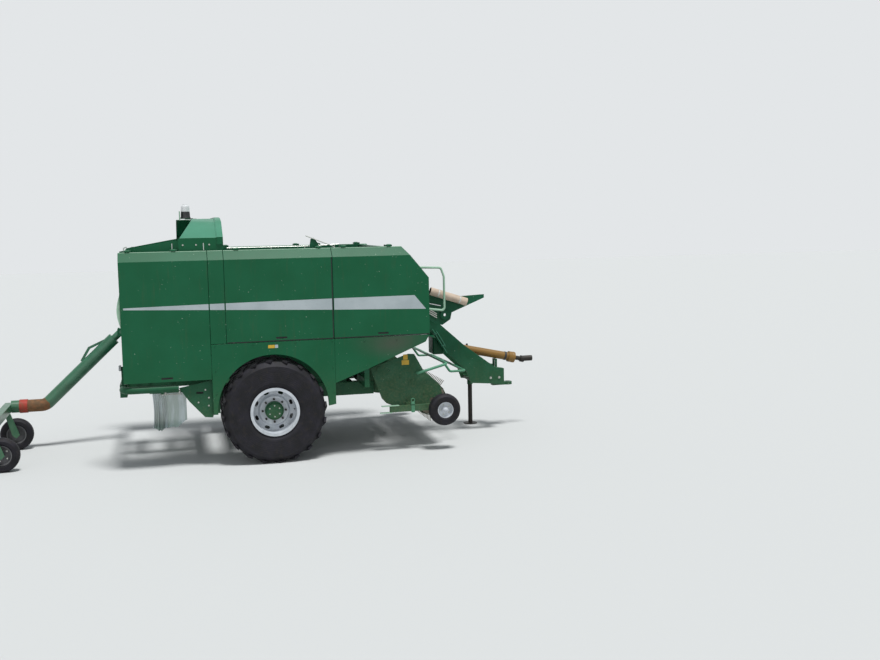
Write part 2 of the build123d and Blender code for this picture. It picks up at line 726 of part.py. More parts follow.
def wrap_ring():
    """The ring that turns round the bale, with a film dispenser on each side."""
    front, rear = ring_x + ring_d / 2, ring_x - ring_d / 2
    ring = ring_x_axis(rear, front, 0, ring_z, ring_out, ring_in)
    groove = ring_x_axis(ring_x - 12, ring_x + 12, 0, ring_z, ring_out + 1, ring_out - 14)
    keep("wrap_ring", ring - groove)
    base = rear - gap
    end = base - film_len + 38
    dispensers = []
    rolls = []
    for turn in (0, 180):
        spin = Pos(0, 0, ring_z) * Rot(turn, 0, 0)
        frame = cross_plate(dispenser_plate, base - 12, base)
        frame += cross_plate(dispenser_plate, end - 12, end)
        for y, z in stretch_rollers:
            frame += cyl_x(end - 6, base - 6, y, z, 36)
        for y, z in tie_bars:
            frame += cyl_x(end - 6, base - 6, y, z, 12)
        dispensers.append(spin * frame)
        rolls.append(spin * cyl_x(end + gap, base - 12 - gap, *film_roll_at, film_r))
    keep("film_dispensers", dispensers)
    keep("film_rolls", rolls)


def ring_guides():
    """Four rollers on stub pins that carry the ring from inside."""
    centre_r = ring_in - guide_r - gap
    pin_rear = ring_x - ring_d / 2 + 1
    flange_rear = ring_x + ring_d / 2 + 2
    pin_root = portal_front_x - post_d - gap
    guides = []
    for z in (top_z - top_rail_h / 2, cross_z + cross_h - 45):
        for sign in (-1, 1):
            y = sign * sqrt(centre_r ** 2 - (z - ring_z) ** 2)
            guide = cyl_x(pin_rear, pin_root, y, z, 14)
            guide += cyl_x(pin_rear, flange_rear - 3, y, z, guide_r)
            guide += cyl_x(flange_rear, flange_rear + 6, y, z, guide_r + 12)
            guides.append(guide)
    keep("ring_guides", guides)


def wrap_table():
    """Two rollers in a frame that tips about the rear roller's shaft."""
    plate = 15
    y0, y1 = table_y + 5, table_y + 5 + plate
    low, high = table_z - 45, table_z + 45
    outline = [(table_rear_x - 45, low + 15), (table_rear_x - 45, high - 15), (table_rear_x - 20, high),
               (table_front_x + 20, high), (table_front_x + 45, high - 15),
               (table_front_x + 45, low + 15), (table_front_x + 20, low), (table_rear_x - 20, low)]
    frame = side_plate(outline, y0, y1)
    for x in (table_rear_x, table_front_x):
        frame -= cyl_y(y0 - 1, y1 + 1, x, table_z, shaft_r + gap)
    middle = (table_rear_x + table_front_x) / 2
    frame += mirrored(frame)
    frame += cyl_y(-y0 - 2, y0 + 2, middle, table_z, 38)
    keep("table_frame", frame)
    rollers = []
    for x, reach in ((table_rear_x, y1 + 26), (table_front_x, y1 + 4)):
        roller = cyl_y(-table_y, table_y, x, table_z, table_roller_r)
        rollers.append(roller + cyl_y(-reach, reach, x, table_z, shaft_r))
    keep("table_rollers", rollers)


side_tube_y = side_y - 45.0
side_tube_z = 965.0
side_tube_r = 42.0
side_bend_r = 110.0           # bend at the rear end of a side tube
gusset_y = side_tube_y - 34.0
gusset_t = 15.0
tube_half = 40.0              # half the rear cross tube's depth
rear_tube_half = side_tube_y - side_bend_r - 80.0   # half its length
rear_tube_top = beam_z + 150.0
tower_t = 15.0


def rear_frame():
    """Beams behind the portal, the rear cross tube, and the towers that hold the table's shaft."""
    top = beam_z + beam_h
    frame = []
    tower_y = table_y + 30
    for sign in (-1, 1):
        y0, y1 = span_y(sign, beam_y - beam_w / 2, beam_y + beam_w / 2)
        frame.append(box(rear_tube_x + tube_half + gap, portal_front_x - post_d - gap, y0, y1, beam_z, top))
    keep("rear_frame", frame)
    towers = []
    for sign in (-1, 1):
        x0, x1 = table_rear_x - 40, table_rear_x + 40
        foot = span_y(sign, beam_y + beam_w / 2 + gap, tower_y + tower_t)
        tower = box(x0, x1, *foot, top - 45, top)
        tower += box(x0, x1, *span_y(sign, tower_y, tower_y + tower_t), top - 45, table_z + 45)
        tower -= cyl_y(-tower_y - 20, tower_y + 20, table_rear_x, table_z, shaft_r + pin_play)
        towers.append(tower)
    keep("rear_frame", towers)
    keep("rear_frame", box(rear_tube_x - tube_half, rear_tube_x + tube_half, -rear_tube_half, rear_tube_half,
                           beam_z, rear_tube_top))


def rear_sides():
    """Side tubes behind the wheels, their gussets, and the clamp bar over the film tail."""
    path = [(-1095 - gap, side_tube_y, side_tube_z), (rear_tube_x, side_tube_y, side_tube_z),
            (rear_tube_x, rear_tube_half + gap, side_tube_z)]
    keep("rear_side_guards", both(tube_path(path, side_bend_r, side_tube_r)))
    gusset = side_plate([(-1095, 961), (portal_front_x - post_d - gap, 1035),
                         (portal_front_x - post_d - gap, 650), (-720, 590), (-811, 600), (-985, 798)],
                        gusset_y, gusset_y + gusset_t)
    gusset -= box(-900, -820, gusset_y - 5, gusset_y + gusset_t + 5, 880, 905)
    keep("rear_side_guards", both(gusset))


# Pick-up side plate outline, (x, z), from the pivot's rear corner round underneath to the front
pick_side = [(1211, 1050), (1225, 985), (1345, 660), (1400, 600), (1500, 555), (1900, 540), (2040, 575),
             (2120, 680), (2090, 800), (1882, 989), (1769, 1200), (1690, 1205)]
pick_plate = 12.0
pick_tube_x = 1720.0          # cross tube between the side plates
pick_tube_z = 880.0
pivot_tube_r = 35.0
reel_shaft_r = 30.0
tine_pitch = 70.0
tine_rows = 5
tine_count = 28
reel_bar_r = 165.0
band_t = 5.0


def pickup_pivot():
    """Stub pins that the pick-up swings on, in brackets at the front of the rails."""
    y0, y1 = rail_y - 25, rail_y + 25
    x, z = pick_pivot_x, pick_pivot_z
    low = rail_z + rail_h + gap
    stub = cyl_y(rail_y - rail_w / 2 + gap, pick_y + 20, x, z, pivot_tube_r)
    keep("feed_housing", both(stub))
    bracket = side_plate([(x - 120, low), (x - 20, low), (x + 55, z - 30), (x + 55, z + 55), (x - 55, z + 55),
                          (x - 120, z - 70)], y0, y1)
    bracket -= cyl_y(y0 - 1, y1 + 1, x, z, pivot_tube_r + gap)
    keep("feed_housing", both(bracket))


def pickup_frame():
    """Side plates, cross tube and the hoop of the wind guard."""
    side = side_plate(pick_side, pick_y, pick_y + pick_plate)
    side -= cyl_y(pick_y - 1, pick_y + 20, pick_pivot_x, pick_pivot_z, pivot_tube_r + pin_play)
    side -= cyl_y(pick_y - 1, pick_y + 20, reel_x, reel_z, reel_shaft_r + pin_play)
    keep("pickup_frame", both(side))
    keep("pickup_frame", cyl_y(-pick_y + gap, pick_y - gap, pick_tube_x, pick_tube_z, 38))
    guard_y = 1060.0
    front_y = 850.0
    hoop = [(1790, guard_y, 961), (2180, guard_y, 1062), (2180, -guard_y, 1062), (1790, -guard_y, 961)]
    guard = tube_path(hoop, 60, 17)
    for sign in (-1, 1):
        guard += cyl_y(*span_y(sign, pick_y + pick_plate + gap, guard_y + 8), 1796, 962, 15)
    fork = [(2188, front_y, 1052), (2272, front_y, 930), (2472, front_y, 930), (2472, -front_y, 930),
            (2272, -front_y, 930), (2188, -front_y, 1052)]
    guard += tube_path(fork, 40, 15)
    keep("wind_guard", guard)


def pickup_reel():
    """Tined reel: a shaft with end and middle discs, tine bars and their tines."""
    reel = cyl_y(-pick_y - 10, pick_y + 10, reel_x, reel_z, reel_shaft_r)
    reel += cyl_y(-pick_y + 20, pick_y - 20, reel_x, reel_z, 55)
    half = tine_pitch * (tine_count - 1) / 2
    for y in (-half - 25, -half / 3 - 12, half / 3 + 12, half + 25):
        reel += cyl_y(y - 5, y + 5, reel_x, reel_z, reel_bar_r + 22)
    parts = []
    for row in range(tine_rows):
        turn = Pos(reel_x, 0, reel_z) * Rot(0, 360 * row / tine_rows + 20, 0)
        parts.append(turn * Pos(reel_bar_r, 0, 0) * Box(26, 2 * half + 50, 26))
        for index in range(tine_count):
            y = -half + tine_pitch * index
            parts.append(turn * Pos((reel_bar_r + tine_r) / 2, y, 0) * Box(tine_r - reel_bar_r, 8, 8))
    keep("pickup_reel", reel + parts)


def pickup_bands():
    """Curved stripper bands between the tine rows, on the channel behind them."""
    angles = [215 + 22.5 * index for index in range(11)]
    outer, inner = [], []
    for angle in angles:
        ahead, up = cos(radians(angle)), sin(radians(angle))
        outer.append((reel_x + (band_r + band_t) * ahead, reel_z + (band_r + band_t) * up))
        inner.insert(0, (reel_x + band_r * ahead, reel_z + band_r * up))
    tail = [(1722, 808), (1722, 796)]
    outline = outer + tail + inner
    comb = box(1680, 1742, -pick_y + gap, pick_y - gap, 780, 800)
    bands = []
    for index in range(tine_count - 1):
        y = tine_pitch * (index - (tine_count - 2) / 2)
        bands.append(side_plate(outline, y - 20, y + 20))
    keep("pickup_bands", comb + bands)


def small_tyre(half, outer, bead_r, bead_in, wall):
    """A solid rubber tyre about Y with a bead, straight walls and rounded shoulders."""
    right = [(half - bead_in, bead_r), (half, bead_r + wall), (half, outer - 32), (half - 19, outer - 7),
             (half - 43, outer)]
    left = [(-across, radius) for across, radius in reversed(right)]
    return Rot(0, 0, 90) * revolve(make_face(Polyline(*right, *left, close=True)), axis=Axis.X)


def gauge_wheels():
    """Arms outside the pick-up, each with a small wheel on a pin."""
    arm = box(1425, gauge_x + 30, pick_y + 70, pick_y + 120, 498, 574)
    arm += cyl_y(pick_y + 119, gauge_y + 30, gauge_x, gauge_z, 20)
    arm += box(1640, 1760, pick_y + pick_plate + gap, pick_y + 71, 490, 600)
    keep("gauge_arms", both(arm))
    for side, sign in (("right", -1), ("left", 1)):
        half = gauge_w / 2
        tyre = small_tyre(half, gauge_r, 100, 12, 18)
        keep("gauge_wheel_" + side, Pos(gauge_x, sign * gauge_y, gauge_z) * tyre)
        rim = ring_y(*span_y(sign, gauge_y - half + 12, gauge_y + half - 12), gauge_x, gauge_z, 100 - gap, 90)
        rim += cyl_y(*span_y(sign, gauge_y + 12, gauge_y + 22), gauge_x, gauge_z, 95)
        rim += cyl_y(*span_y(sign, gauge_y - 40, gauge_y + 48), gauge_x, gauge_z, 40)
        rim -= cyl_y(*span_y(sign, gauge_y - 41, gauge_y + 31), gauge_x, gauge_z, 20 + pin_play)
        keep("gauge_wheel_" + side, rim)


def feed():
    """Rotor walls, the curved knife floor, and the finger rotor."""
    wall_out = rail_y - rail_w / 2 - gap
    wall_in = wall_out - 14
    wall = side_plate([(1160, 690), (1500, 690), (1550, 800), (1550, 960), (1480, 1130), (1240, 1130),
                       (1160, 960)], wall_in, wall_out)
    wall -= cyl_y(wall_in - 1, wall_out + 1, rotor_x, rotor_z, 30 + pin_play)
    keep("feed_housing", both(wall))
    arc = cyl_y(-wall_in + gap, wall_in - gap, rotor_x, rotor_z, rotor_r + 22)
    arc -= cyl_y(-wall_in, wall_in, rotor_x, rotor_z, rotor_r + 12)
    arc = arc & box(rotor_x - 180, rotor_x + 100, -700, 700, 650, rotor_z - 120)
    keep("feed_housing", arc)
    rotor = cyl_y(-wall_out, wall_out, rotor_x, rotor_z, 30)
    rotor += cyl_y(-wall_in + 12, wall_in - 12, rotor_x, rotor_z, 105)
    stars = []
    for index in range(12):
        y = -550 + 100 * index
        points = []
        for point in range(8):
            angle = radians(45 * point + 15 * index)
            reach = rotor_r if point % 2 == 0 else 110
            points.append((rotor_x + reach * cos(angle), rotor_z + reach * sin(angle)))
        stars.append(side_plate(points, y - 8, y + 8))
    keep("feed_rotor", rotor + stars)


tip_hinge_r = 25.0
# Flat-bar strap along the top of the tube and the gap under it, as (along the tube, above its middle)
strap_outline = [(109, 39), (440, 153), (633, 97), (625, 50), (135, 0)]
strap_gap = [(262, 60), (438, 118), (590, 74), (590, 60)]


def end_tip():
    """Bale tipping kit: hinge bracket, curved tube, cross beam with two wheels, and the tipping cradle."""
    low = rear_tube_top + gap
    bracket_rear, bracket_front = rear_tube_x - tube_half, rear_tube_x + tube_half
    bracket = box(bracket_rear, bracket_rear + 15, tip_y - 70, tip_y + 70, low, low + 190)
    bracket += box(bracket_rear + 15, bracket_front, tip_y - 70, tip_y + 70, low, low + 20)
    for y in (tip_y - 80, tip_y + 60):
        cheek = side_plate([(bracket_rear, low), (bracket_front, low), (bracket_front, tip_pivot_z + 40),
                            (tip_pivot_x - 45, tip_pivot_z + 40), (tip_pivot_x - 45, tip_pivot_z - 60),
                            (bracket_rear, tip_pivot_z - 60)], y, y + 20)
        bracket += cheek
    bracket -= cyl_y(tip_y - 90, tip_y + 90, tip_pivot_x, tip_pivot_z, tip_hinge_r + pin_play)
    keep("rear_frame", bracket)

    eye = cyl_y(tip_y - 55, tip_y + 55, tip_pivot_x, tip_pivot_z, 42)
    eye += cyl_y(tip_y - 80, tip_y + 80, tip_pivot_x, tip_pivot_z, tip_hinge_r)
    start = Vector(tip_pivot_x, tip_y, tip_pivot_z)
    run = Vector(tip_elbow_x - tip_pivot_x, 0, tip_elbow_z - tip_pivot_z).normalized()
    first = start + run * 130
    tube = tube_path([(first.X, first.Y, first.Z), (tip_elbow_x, tip_y, tip_elbow_z),
                      (tip_elbow_x - tip_run, tip_y, tip_elbow_z)], 150, tip_tube_r)
    web = bar(tuple(start + run * 20), tuple(start + run * 135), 45)
    sleeve = cyl_x(tip_elbow_x - 320, tip_elbow_x - 220, tip_y, tip_elbow_z, tip_tube_r + 8)
    rise = Vector(run.Z, 0, -run.X)
    strap = []
    for outline in (strap_outline, strap_gap):
        points = [start + run * along + rise * up for along, up in outline]
        strap.append(side_plate([(point.X, point.Z) for point in points], tip_y - 8, tip_y + 8))
    keep("tip_tube", eye + tube + web + sleeve + (strap[0] - strap[1]))

    beam_x = tip_elbow_x - tip_run - gap
    axle_x = tip_wheel_x
    beam = box(beam_x - 90, beam_x, -760, 800, tip_elbow_z - 62, tip_elbow_z + 38)
    legs = []
    for wheel_y_at in (tip_y - 30, tip_right_y):
        y = wheel_y_at - tip_wheel_w / 2 - 14
        leg = side_plate([(beam_x - 80, tip_elbow_z - 50), (beam_x - 10, tip_elbow_z - 50),
                          (axle_x + 45, tip_wheel_r), (axle_x, tip_wheel_r - 40),
                          (axle_x - 45, tip_wheel_r)], y - 12, y)
        legs.append(leg + cyl_y(y - 2, wheel_y_at + 40, axle_x, tip_wheel_r, 18))
    cradle = []
    prong_r, rail_r = 20, 26
    for y in (-560, -200, 160, 520):
        cradle.append(tube_path([(beam_x - 60, y, tip_elbow_z - 20), (tip_rear_x + 130, y, tip_elbow_z - 90),
                                 (tip_rear_x + rail_r, y, tip_elbow_z - 330)], 90, prong_r))
    rail = cyl_y(-600, 560, tip_rear_x + rail_r, tip_elbow_z - 330, rail_r)
    keep("tip_cradle", beam + legs + cradle + rail)
    for side, y in (("left", tip_y - 30), ("right", tip_right_y)):
        half = tip_wheel_w / 2
        tyre = small_tyre(half, tip_wheel_r, 120, 10, 16)
        keep("tip_wheel_" + side, Pos(axle_x, y, tip_wheel_r) * tyre)
        rim = ring_y(y - half + 10, y + half - 10, axle_x, tip_wheel_r, 120 - gap, 108)
        rim += cyl_y(y - 5, y + 5, axle_x, tip_wheel_r, 112)
        rim += cyl_y(y - 30, y + 42, axle_x, tip_wheel_r, 34)
        rim -= cyl_y(y - 31, y + 41, axle_x, tip_wheel_r, 18 + pin_play)
        keep("tip_wheel_" + side, rim)


hood_rear_x = -1030.0
hood_front_x = -520.0
hood_t = 12.0
hood_half = top_rail_out + 5.0
# Corners of the hood's left half, as (y, height above the side panels)
hood_line = [(hood_half, 152.0), (820.0, 330.0), (560.0, 377.0)]
handrail_y = -900.0
handrail_rear_x = 1820.0
handrail_front_x = 2200.0
hose_rear = (2119.0, -500.0, 1946.0)
hose_front = (2610.0, -500.0, 1785.0)
hose_tube_r = 52.0
tail_y = -1050.0              # the sheet of film behind the right road wheel


def hood():
    """The roofed arch over the ring where it stands above the side panels, its front face and edge bead."""
    seat = top_z + gap
    arch = hood_shell(hood_rear_x, hood_front_x, 0, -hood_t, seat)
    arch -= side_plate([(hood_rear_x - 40, top_z + 142), (hood_rear_x - 40, top_z + 460),
                        (hood_rear_x + 240, top_z + 460), (hood_rear_x + 8, top_z + 142)], -hood_half - 100,
                       hood_half + 100)
    face = hood_section(1 - hood_t, seat)
    arch += extrude(Plane((hood_front_x - 30, 0, 0), (0, 1, 0), (1, 0, 0)) * face, amount=10)
    arch += hood_shell(hood_front_x - 80, hood_front_x, 7, -1, top_z + 72)
    arch += hood_shell(hood_front_x - 70, hood_front_x - 10, 14, -1, top_z + 72)
    keep("ring_hood", arch)


def hood_section(grow, low_z):
    """The (y, z) section of the hood above a level, grown or shrunk all round."""
    right = [(-y, top_z + up) for y, up in hood_line]
    left = [(y, top_z + up) for y, up in reversed(hood_line)]
    base = [(hood_half, top_z - 200), (-hood_half, top_z - 200)]
    whole = offset(make_face(Polyline(*right, *left, *base, close=True)), amount=grow, kind=Kind.INTERSECTION)
    return whole & Pos(0, low_z + 500) * Rectangle(4 * hood_half, 1000)


def hood_shell(x0, x1, outer, inner, low_z):
    """The sheet between two sizes of the hood's section."""
    face = hood_section(outer, low_z) - hood_section(inner, low_z)
    return extrude(Plane((x0, 0, 0), (0, 1, 0), (1, 0, 0)) * face, amount=x1 - x0)


def top_guards():
    """Low wedge plates inside the top rails behind the ring cover."""
    plate = side_plate([(-1690, top_z - 50), (-1095, top_z - 50), (-1095, 2665), (-1690, 2562)],
                       top_rail_in - gap - 10, top_rail_in - gap)
    keep("ring_hood", both(plate))


def lamps():
    """Work lamp on its stalk above the ring cover, and two lamps behind the rear doors."""
    roof = top_z + hood_line[-1][1]
    x0, x1 = hood_rear_x + 105, hood_rear_x + 145
    stalk = box(x0, x1 + 105, -30, 30, roof + gap, roof + 8)
    stalk += box(x0, x1, -20, 20, roof + 7, roof + 65)
    stalk += box(x0 - 35, x1 + 5, -25, 25, roof + 60, roof + 66)
    keep("ring_hood", stalk)
    lamp_x, lamp_z = x0 + 10, roof + 66 + gap
    keep("lamps", cyl_z(lamp_z, lamp_z + 29, lamp_x, 0, 42) + cyl_z(lamp_z + 28, lamp_z + 119, lamp_x, 0, 34))
    arm_x = rear_tube_x - 15
    keep("lamps", both(box(arm_x - 20, arm_x, 960, 1040, 1180, 1240)))
    keep("rear_side_guards", both(box(arm_x + gap, arm_x + 20, 985, 1015, rear_tube_top + gap, 1225)))


def front_rails():
    """Handrail hoop at the front right, and the hose tube with its bracket and round plate."""
    seat = -shaft_out - 60 - gap
    y, x0, x1 = handrail_y, handrail_rear_x, handrail_front_x
    hoop = [(x0 - 140, seat, 2280), (x0 - 140, y, 2280), (x1 - 40, y, 2262), (x1, y, 2150), (x1, y, 1720),
            (x0, y, 1770), (x0, seat, 1770)]
    keep("front_fittings", tube_path(hoop, 38, 14))
    rear, front = Vector(*hose_rear), Vector(*hose_front)
    past = (front - rear).normalized() * 30
    tube = bar(tuple(rear), tuple(front), hose_tube_r)
    tube -= bar(tuple(rear - past), tuple(front + past), hose_tube_r - 8)
    keep("hose_tube", tube)
    x0, z0 = net_front_x + gap, arm_z
    outer_y = hose_rear[1] + hose_tube_r + gap
    plate = side_plate([(x0, z0 + 10), (x0 + 340, z0 - 230), (x0 + 430, z0 - 250), (x0 + 540, z0 - 180),
                        (x0 + 560, z0 - 90), (x0 + 1006, z0 + 90), (x0 + 1006, z0 + 135),
                        (x0 + 440, z0 + 110), (x0 + 260, z0 + 160), (x0, z0 + 210)], outer_y, outer_y + 14)
    plate += cyl_y(outer_y - 26, outer_y + 1, x0 + 462, z0 - 116, 62)
    plate -= cyl_y(outer_y - 27, outer_y + 15, x0 + 462, z0 - 116, 20)
    keep("front_fittings", plate)


def film_tail():
    """Loose end of the wrapping film, hanging from its clamp bar on the right side."""
    clamp = cyl_x(-1430, -980, tail_y, 905, 12)
    clamp += box(-1300, -1270, -side_tube_y + side_tube_r + gap, tail_y + 5, 895, 985)
    keep("rear_side_guards", clamp)
    keep("film_tail", box(-1400, -1020, tail_y - 4, tail_y + 4, 452, 893 - gap))


road_tyre("right", -1)
road_tyre("left", 1)
road_rim("right", -1)
road_rim("left", 1)
axle()
chassis()
portal()
side_frames()
top_rails()
doors()
door_hinges()
fixed_panels()
lower_chamber()
gate()
front_frame()
net_box()
drawbar()
driveline()
jack()
wrap_ring()
ring_guides()
wrap_table()
rear_frame()
rear_sides()
pickup_pivot()
pickup_frame()
pickup_reel()
pickup_bands()
gauge_wheels()
feed()
end_tip()
hood()
top_guards()
lamps()
front_rails()
film_tail()

os.makedirs("parts", exist_ok=True)
for name, solids in pieces.items():
    node = Pos(-middle_x, 0, 0) * Compound(children=solids)
    export_step(node, f"parts/{name}.step")
print(len(pieces), "nodes")
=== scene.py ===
"""Looks of a towed round baler with a wrapping ring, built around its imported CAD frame."""

import logging
import math
import random
from dataclasses import dataclass
from enum import Enum
from typing import Any, Callable, Optional, Sequence

import bmesh
import bpy
from mathutils import Matrix, Vector


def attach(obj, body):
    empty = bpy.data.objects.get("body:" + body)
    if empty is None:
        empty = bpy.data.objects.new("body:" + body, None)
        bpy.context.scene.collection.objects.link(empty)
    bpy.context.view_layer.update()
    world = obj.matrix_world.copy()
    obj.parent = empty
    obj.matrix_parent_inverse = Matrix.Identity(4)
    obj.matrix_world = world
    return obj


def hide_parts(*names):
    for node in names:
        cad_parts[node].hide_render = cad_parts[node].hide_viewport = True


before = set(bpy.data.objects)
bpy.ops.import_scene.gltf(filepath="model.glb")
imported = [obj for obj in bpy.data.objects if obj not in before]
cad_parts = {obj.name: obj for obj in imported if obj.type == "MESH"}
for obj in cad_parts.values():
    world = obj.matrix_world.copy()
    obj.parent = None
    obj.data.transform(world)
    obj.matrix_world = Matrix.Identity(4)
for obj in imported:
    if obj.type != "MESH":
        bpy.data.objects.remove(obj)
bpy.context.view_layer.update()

LOG = logging.getLogger("baler")
MM = 0.001
AXLE_X, AXLE_Z = -0.020, 0.622  # the road axle in the part's frame, in metres as every size below
GAUGE_WHEEL = (2.076, 0.511)  # x and z of its middle
TIP_WHEEL = (-3.160, 0.205)
RING_Z = 1.720  # middle of the wrap ring
SIDE_Y = 1.235  # outer face of the side panels
BESIDE = 1.6  # a y well outside the body, where the lines that seat small parts start
SUNK = 0.001  # how deep a label or strip reaches into its sheet
SIDES = {"right": -1, "left": 1}
BEVEL_ANGLE = math.radians(32)
WELD_REACH = 0.00002
ANY_WAY = -2.0  # less than the Z of any normal

Point = tuple[float, float, float]
Outline = Sequence[tuple[float, float]]
Places = Sequence[tuple[str, float, float]]  # a panel's or lamp's name, then two measures


def linear(colour: str) -> tuple[float, float, float, float]:
    """Turn an sRGB hex colour into a linear one.

    Args:
        colour: the colour as "#rrggbb".

    Returns:
        Red, green, blue and an alpha of 1, as a shader socket takes them.
    """
    shares = [int(colour[at:at + 2], 16) / 255 for at in (1, 3, 5)]
    red, green, blue = (s / 12.92 if s <= 0.04045 else ((s + 0.055) / 1.055) ** 2.4 for s in shares)
    return red, green, blue, 1.0


def add_node(tree: bpy.types.NodeTree, kind: str, inputs: Optional[dict] = None,
             **settings: Any) -> bpy.types.Node:
    """Add a shader node with its settings, values and links.

    Args:
        tree: the material's node tree.
        kind: the node's type without its "ShaderNode" prefix.
        inputs: input socket name or number to a value, or to the output socket that feeds it.
        settings: attributes to set on the node before its inputs.

    Returns:
        The new node.
    """
    made = tree.nodes.new("ShaderNode" + kind)
    for name, value in settings.items():
        setattr(made, name, value)
    for name, value in (inputs or {}).items():
        if isinstance(value, bpy.types.NodeSocket):
            tree.links.new(value, made.inputs[name])
        else:
            made.inputs[name].default_value = value
    return made


@dataclass
class Graph:
    """A material's node tree and the few patterns that its finish is mixed from."""

    material: bpy.types.Material

    @classmethod
    def named(cls, name: str) -> "Graph":
        """Start a material with an empty node tree.

        Args:
            name: the material's name.

        Returns:
            The graph that fills it.
        """
        material = bpy.data.materials.new(name)
        material.use_nodes = True
        material.node_tree.nodes.clear()
        return cls(material)

    @property
    def tree(self) -> bpy.types.NodeTree:
        """The material's node tree."""
        return self.material.node_tree

    def place(self) -> bpy.types.NodeSocket:
        """Where a point of the piece lies, in metres, before any joint moves it."""
        return add_node(self.tree, "TexCoord").outputs["Object"]

    def noise(self, size_mm: float, detail: float = 3.0, stretch: Point = (1, 1, 1),
              rough: float = 0.5) -> bpy.types.NodeSocket:
        """A cloud pattern.

        Args:
            size_mm: about how wide one patch is.
            detail: how many finer octaves it has.
            stretch: how much longer a patch is along each axis.
            rough: how strong the finer octaves are.

        Returns:
            The pattern's value socket.
        """
        scale = tuple(1 / (size_mm * MM * s) for s in stretch)
        moved = add_node(self.tree, "Mapping", {0: self.place(), "Scale": scale})
        made = add_node(self.tree, "TexNoise", {"Vector": moved.outputs[0], "Scale": 1.0, "Detail": detail,
                                                "Roughness": rough})
        return made.outputs["Fac"]

    def span(self, value: bpy.types.NodeSocket, low: float, high: float, to_low: float = 0.0,
             to_high: float = 1.0) -> bpy.types.NodeSocket:
        """Ease a value from one range to another.

        Args:
            value: the value's socket.
            low: the value that gives to_low, as all below it do.
            high: the value that gives to_high, as all above it do.
            to_low: the result at low.
            to_high: the result at high.

        Returns:
            The result's socket.
        """
        sockets = {"Value": value, "From Min": low, "From Max": high, "To Min": to_low, "To Max": to_high}
        return add_node(self.tree, "MapRange", sockets, interpolation_type="SMOOTHSTEP").outputs[0]

    def times(self, first: Any, second: Any) -> bpy.types.NodeSocket:
        """Multiply two values, each a number or a socket."""
        return add_node(self.tree, "Math", {0: first, 1: second}, operation="MULTIPLY").outputs[0]

    def plus(self, first: Any, second: Any) -> bpy.types.NodeSocket:
        """Add two values, each a number or a socket."""
        return add_node(self.tree, "Math", {0: first, 1: second}, operation="ADD").outputs[0]

    def blend(self, share: Any, first: Any, second: Any) -> bpy.types.NodeSocket:
        """Mix two colours by a share from 0 to 1, through the node's colour sockets 6, 7 and 2."""
        return add_node(self.tree, "Mix", {0: share, 6: first, 7: second}, data_type="RGBA").outputs[2]

    def height(self) -> bpy.types.NodeSocket:
        """How high a point lies, in metres."""
        return add_node(self.tree, "SeparateXYZ", {0: self.place()}).outputs["Z"]

    def across(self, x: float, z: float, flat: float = 1.0) -> bpy.types.NodeSocket:
        """How far a point lies from an axis along y.

        Args:
            x: the axis's x.
            z: the axis's z.
            flat: how many times a height counts, against a length along x.

        Returns:
            The distance's socket, in metres.
        """
        kind = "VectorMath"
        moved = add_node(self.tree, kind, {0: self.place(), 1: (x, 0, z)}, operation="SUBTRACT").outputs[0]
        plane = add_node(self.tree, kind, {0: moved, 1: (1, 0, flat)}, operation="MULTIPLY").outputs[0]
        return add_node(self.tree, kind, {0: plane}, operation="LENGTH").outputs["Value"]

    def bump(self, value: bpy.types.NodeSocket, depth_mm: float, before: Any = None) -> bpy.types.NodeSocket:
        """A relief, on top of another one if that is given.

        Args:
            value: the relief's pattern.
            depth_mm: how deep it is.
            before: the relief that it lies on.

        Returns:
            The normal's socket.
        """
        inputs = {"Height": value, "Distance": depth_mm * MM, "Strength": 1.0}
        if before is not None:
            inputs["Normal"] = before
        return add_node(self.tree, "Bump", inputs).outputs[0]

    def finish(self, inputs: dict) -> bpy.types.Material:
        """Close the tree with one principled shader.

        Args:
            inputs: the shader's sockets, as add_node takes them.

        Returns:
            The finished material.
        """
        shader = add_node(self.tree, "BsdfPrincipled", inputs)
        add_node(self.tree, "OutputMaterial", {"Surface": shader.outputs[0]})
        return self.material


class Finish:
    """A finish makes its material once and hands out the same one after that."""

    name: str
    _made: dict[str, bpy.types.Material] = {}

    def material(self) -> bpy.types.Material:
        """The finish's material."""
        if self.name not in Finish._made:
            Finish._made[self.name] = self.build(Graph.named(self.name))
        return Finish._made[self.name]

    def build(self, graph: Graph) -> bpy.types.Material:
        """Fill the node tree."""
        raise NotImplementedError


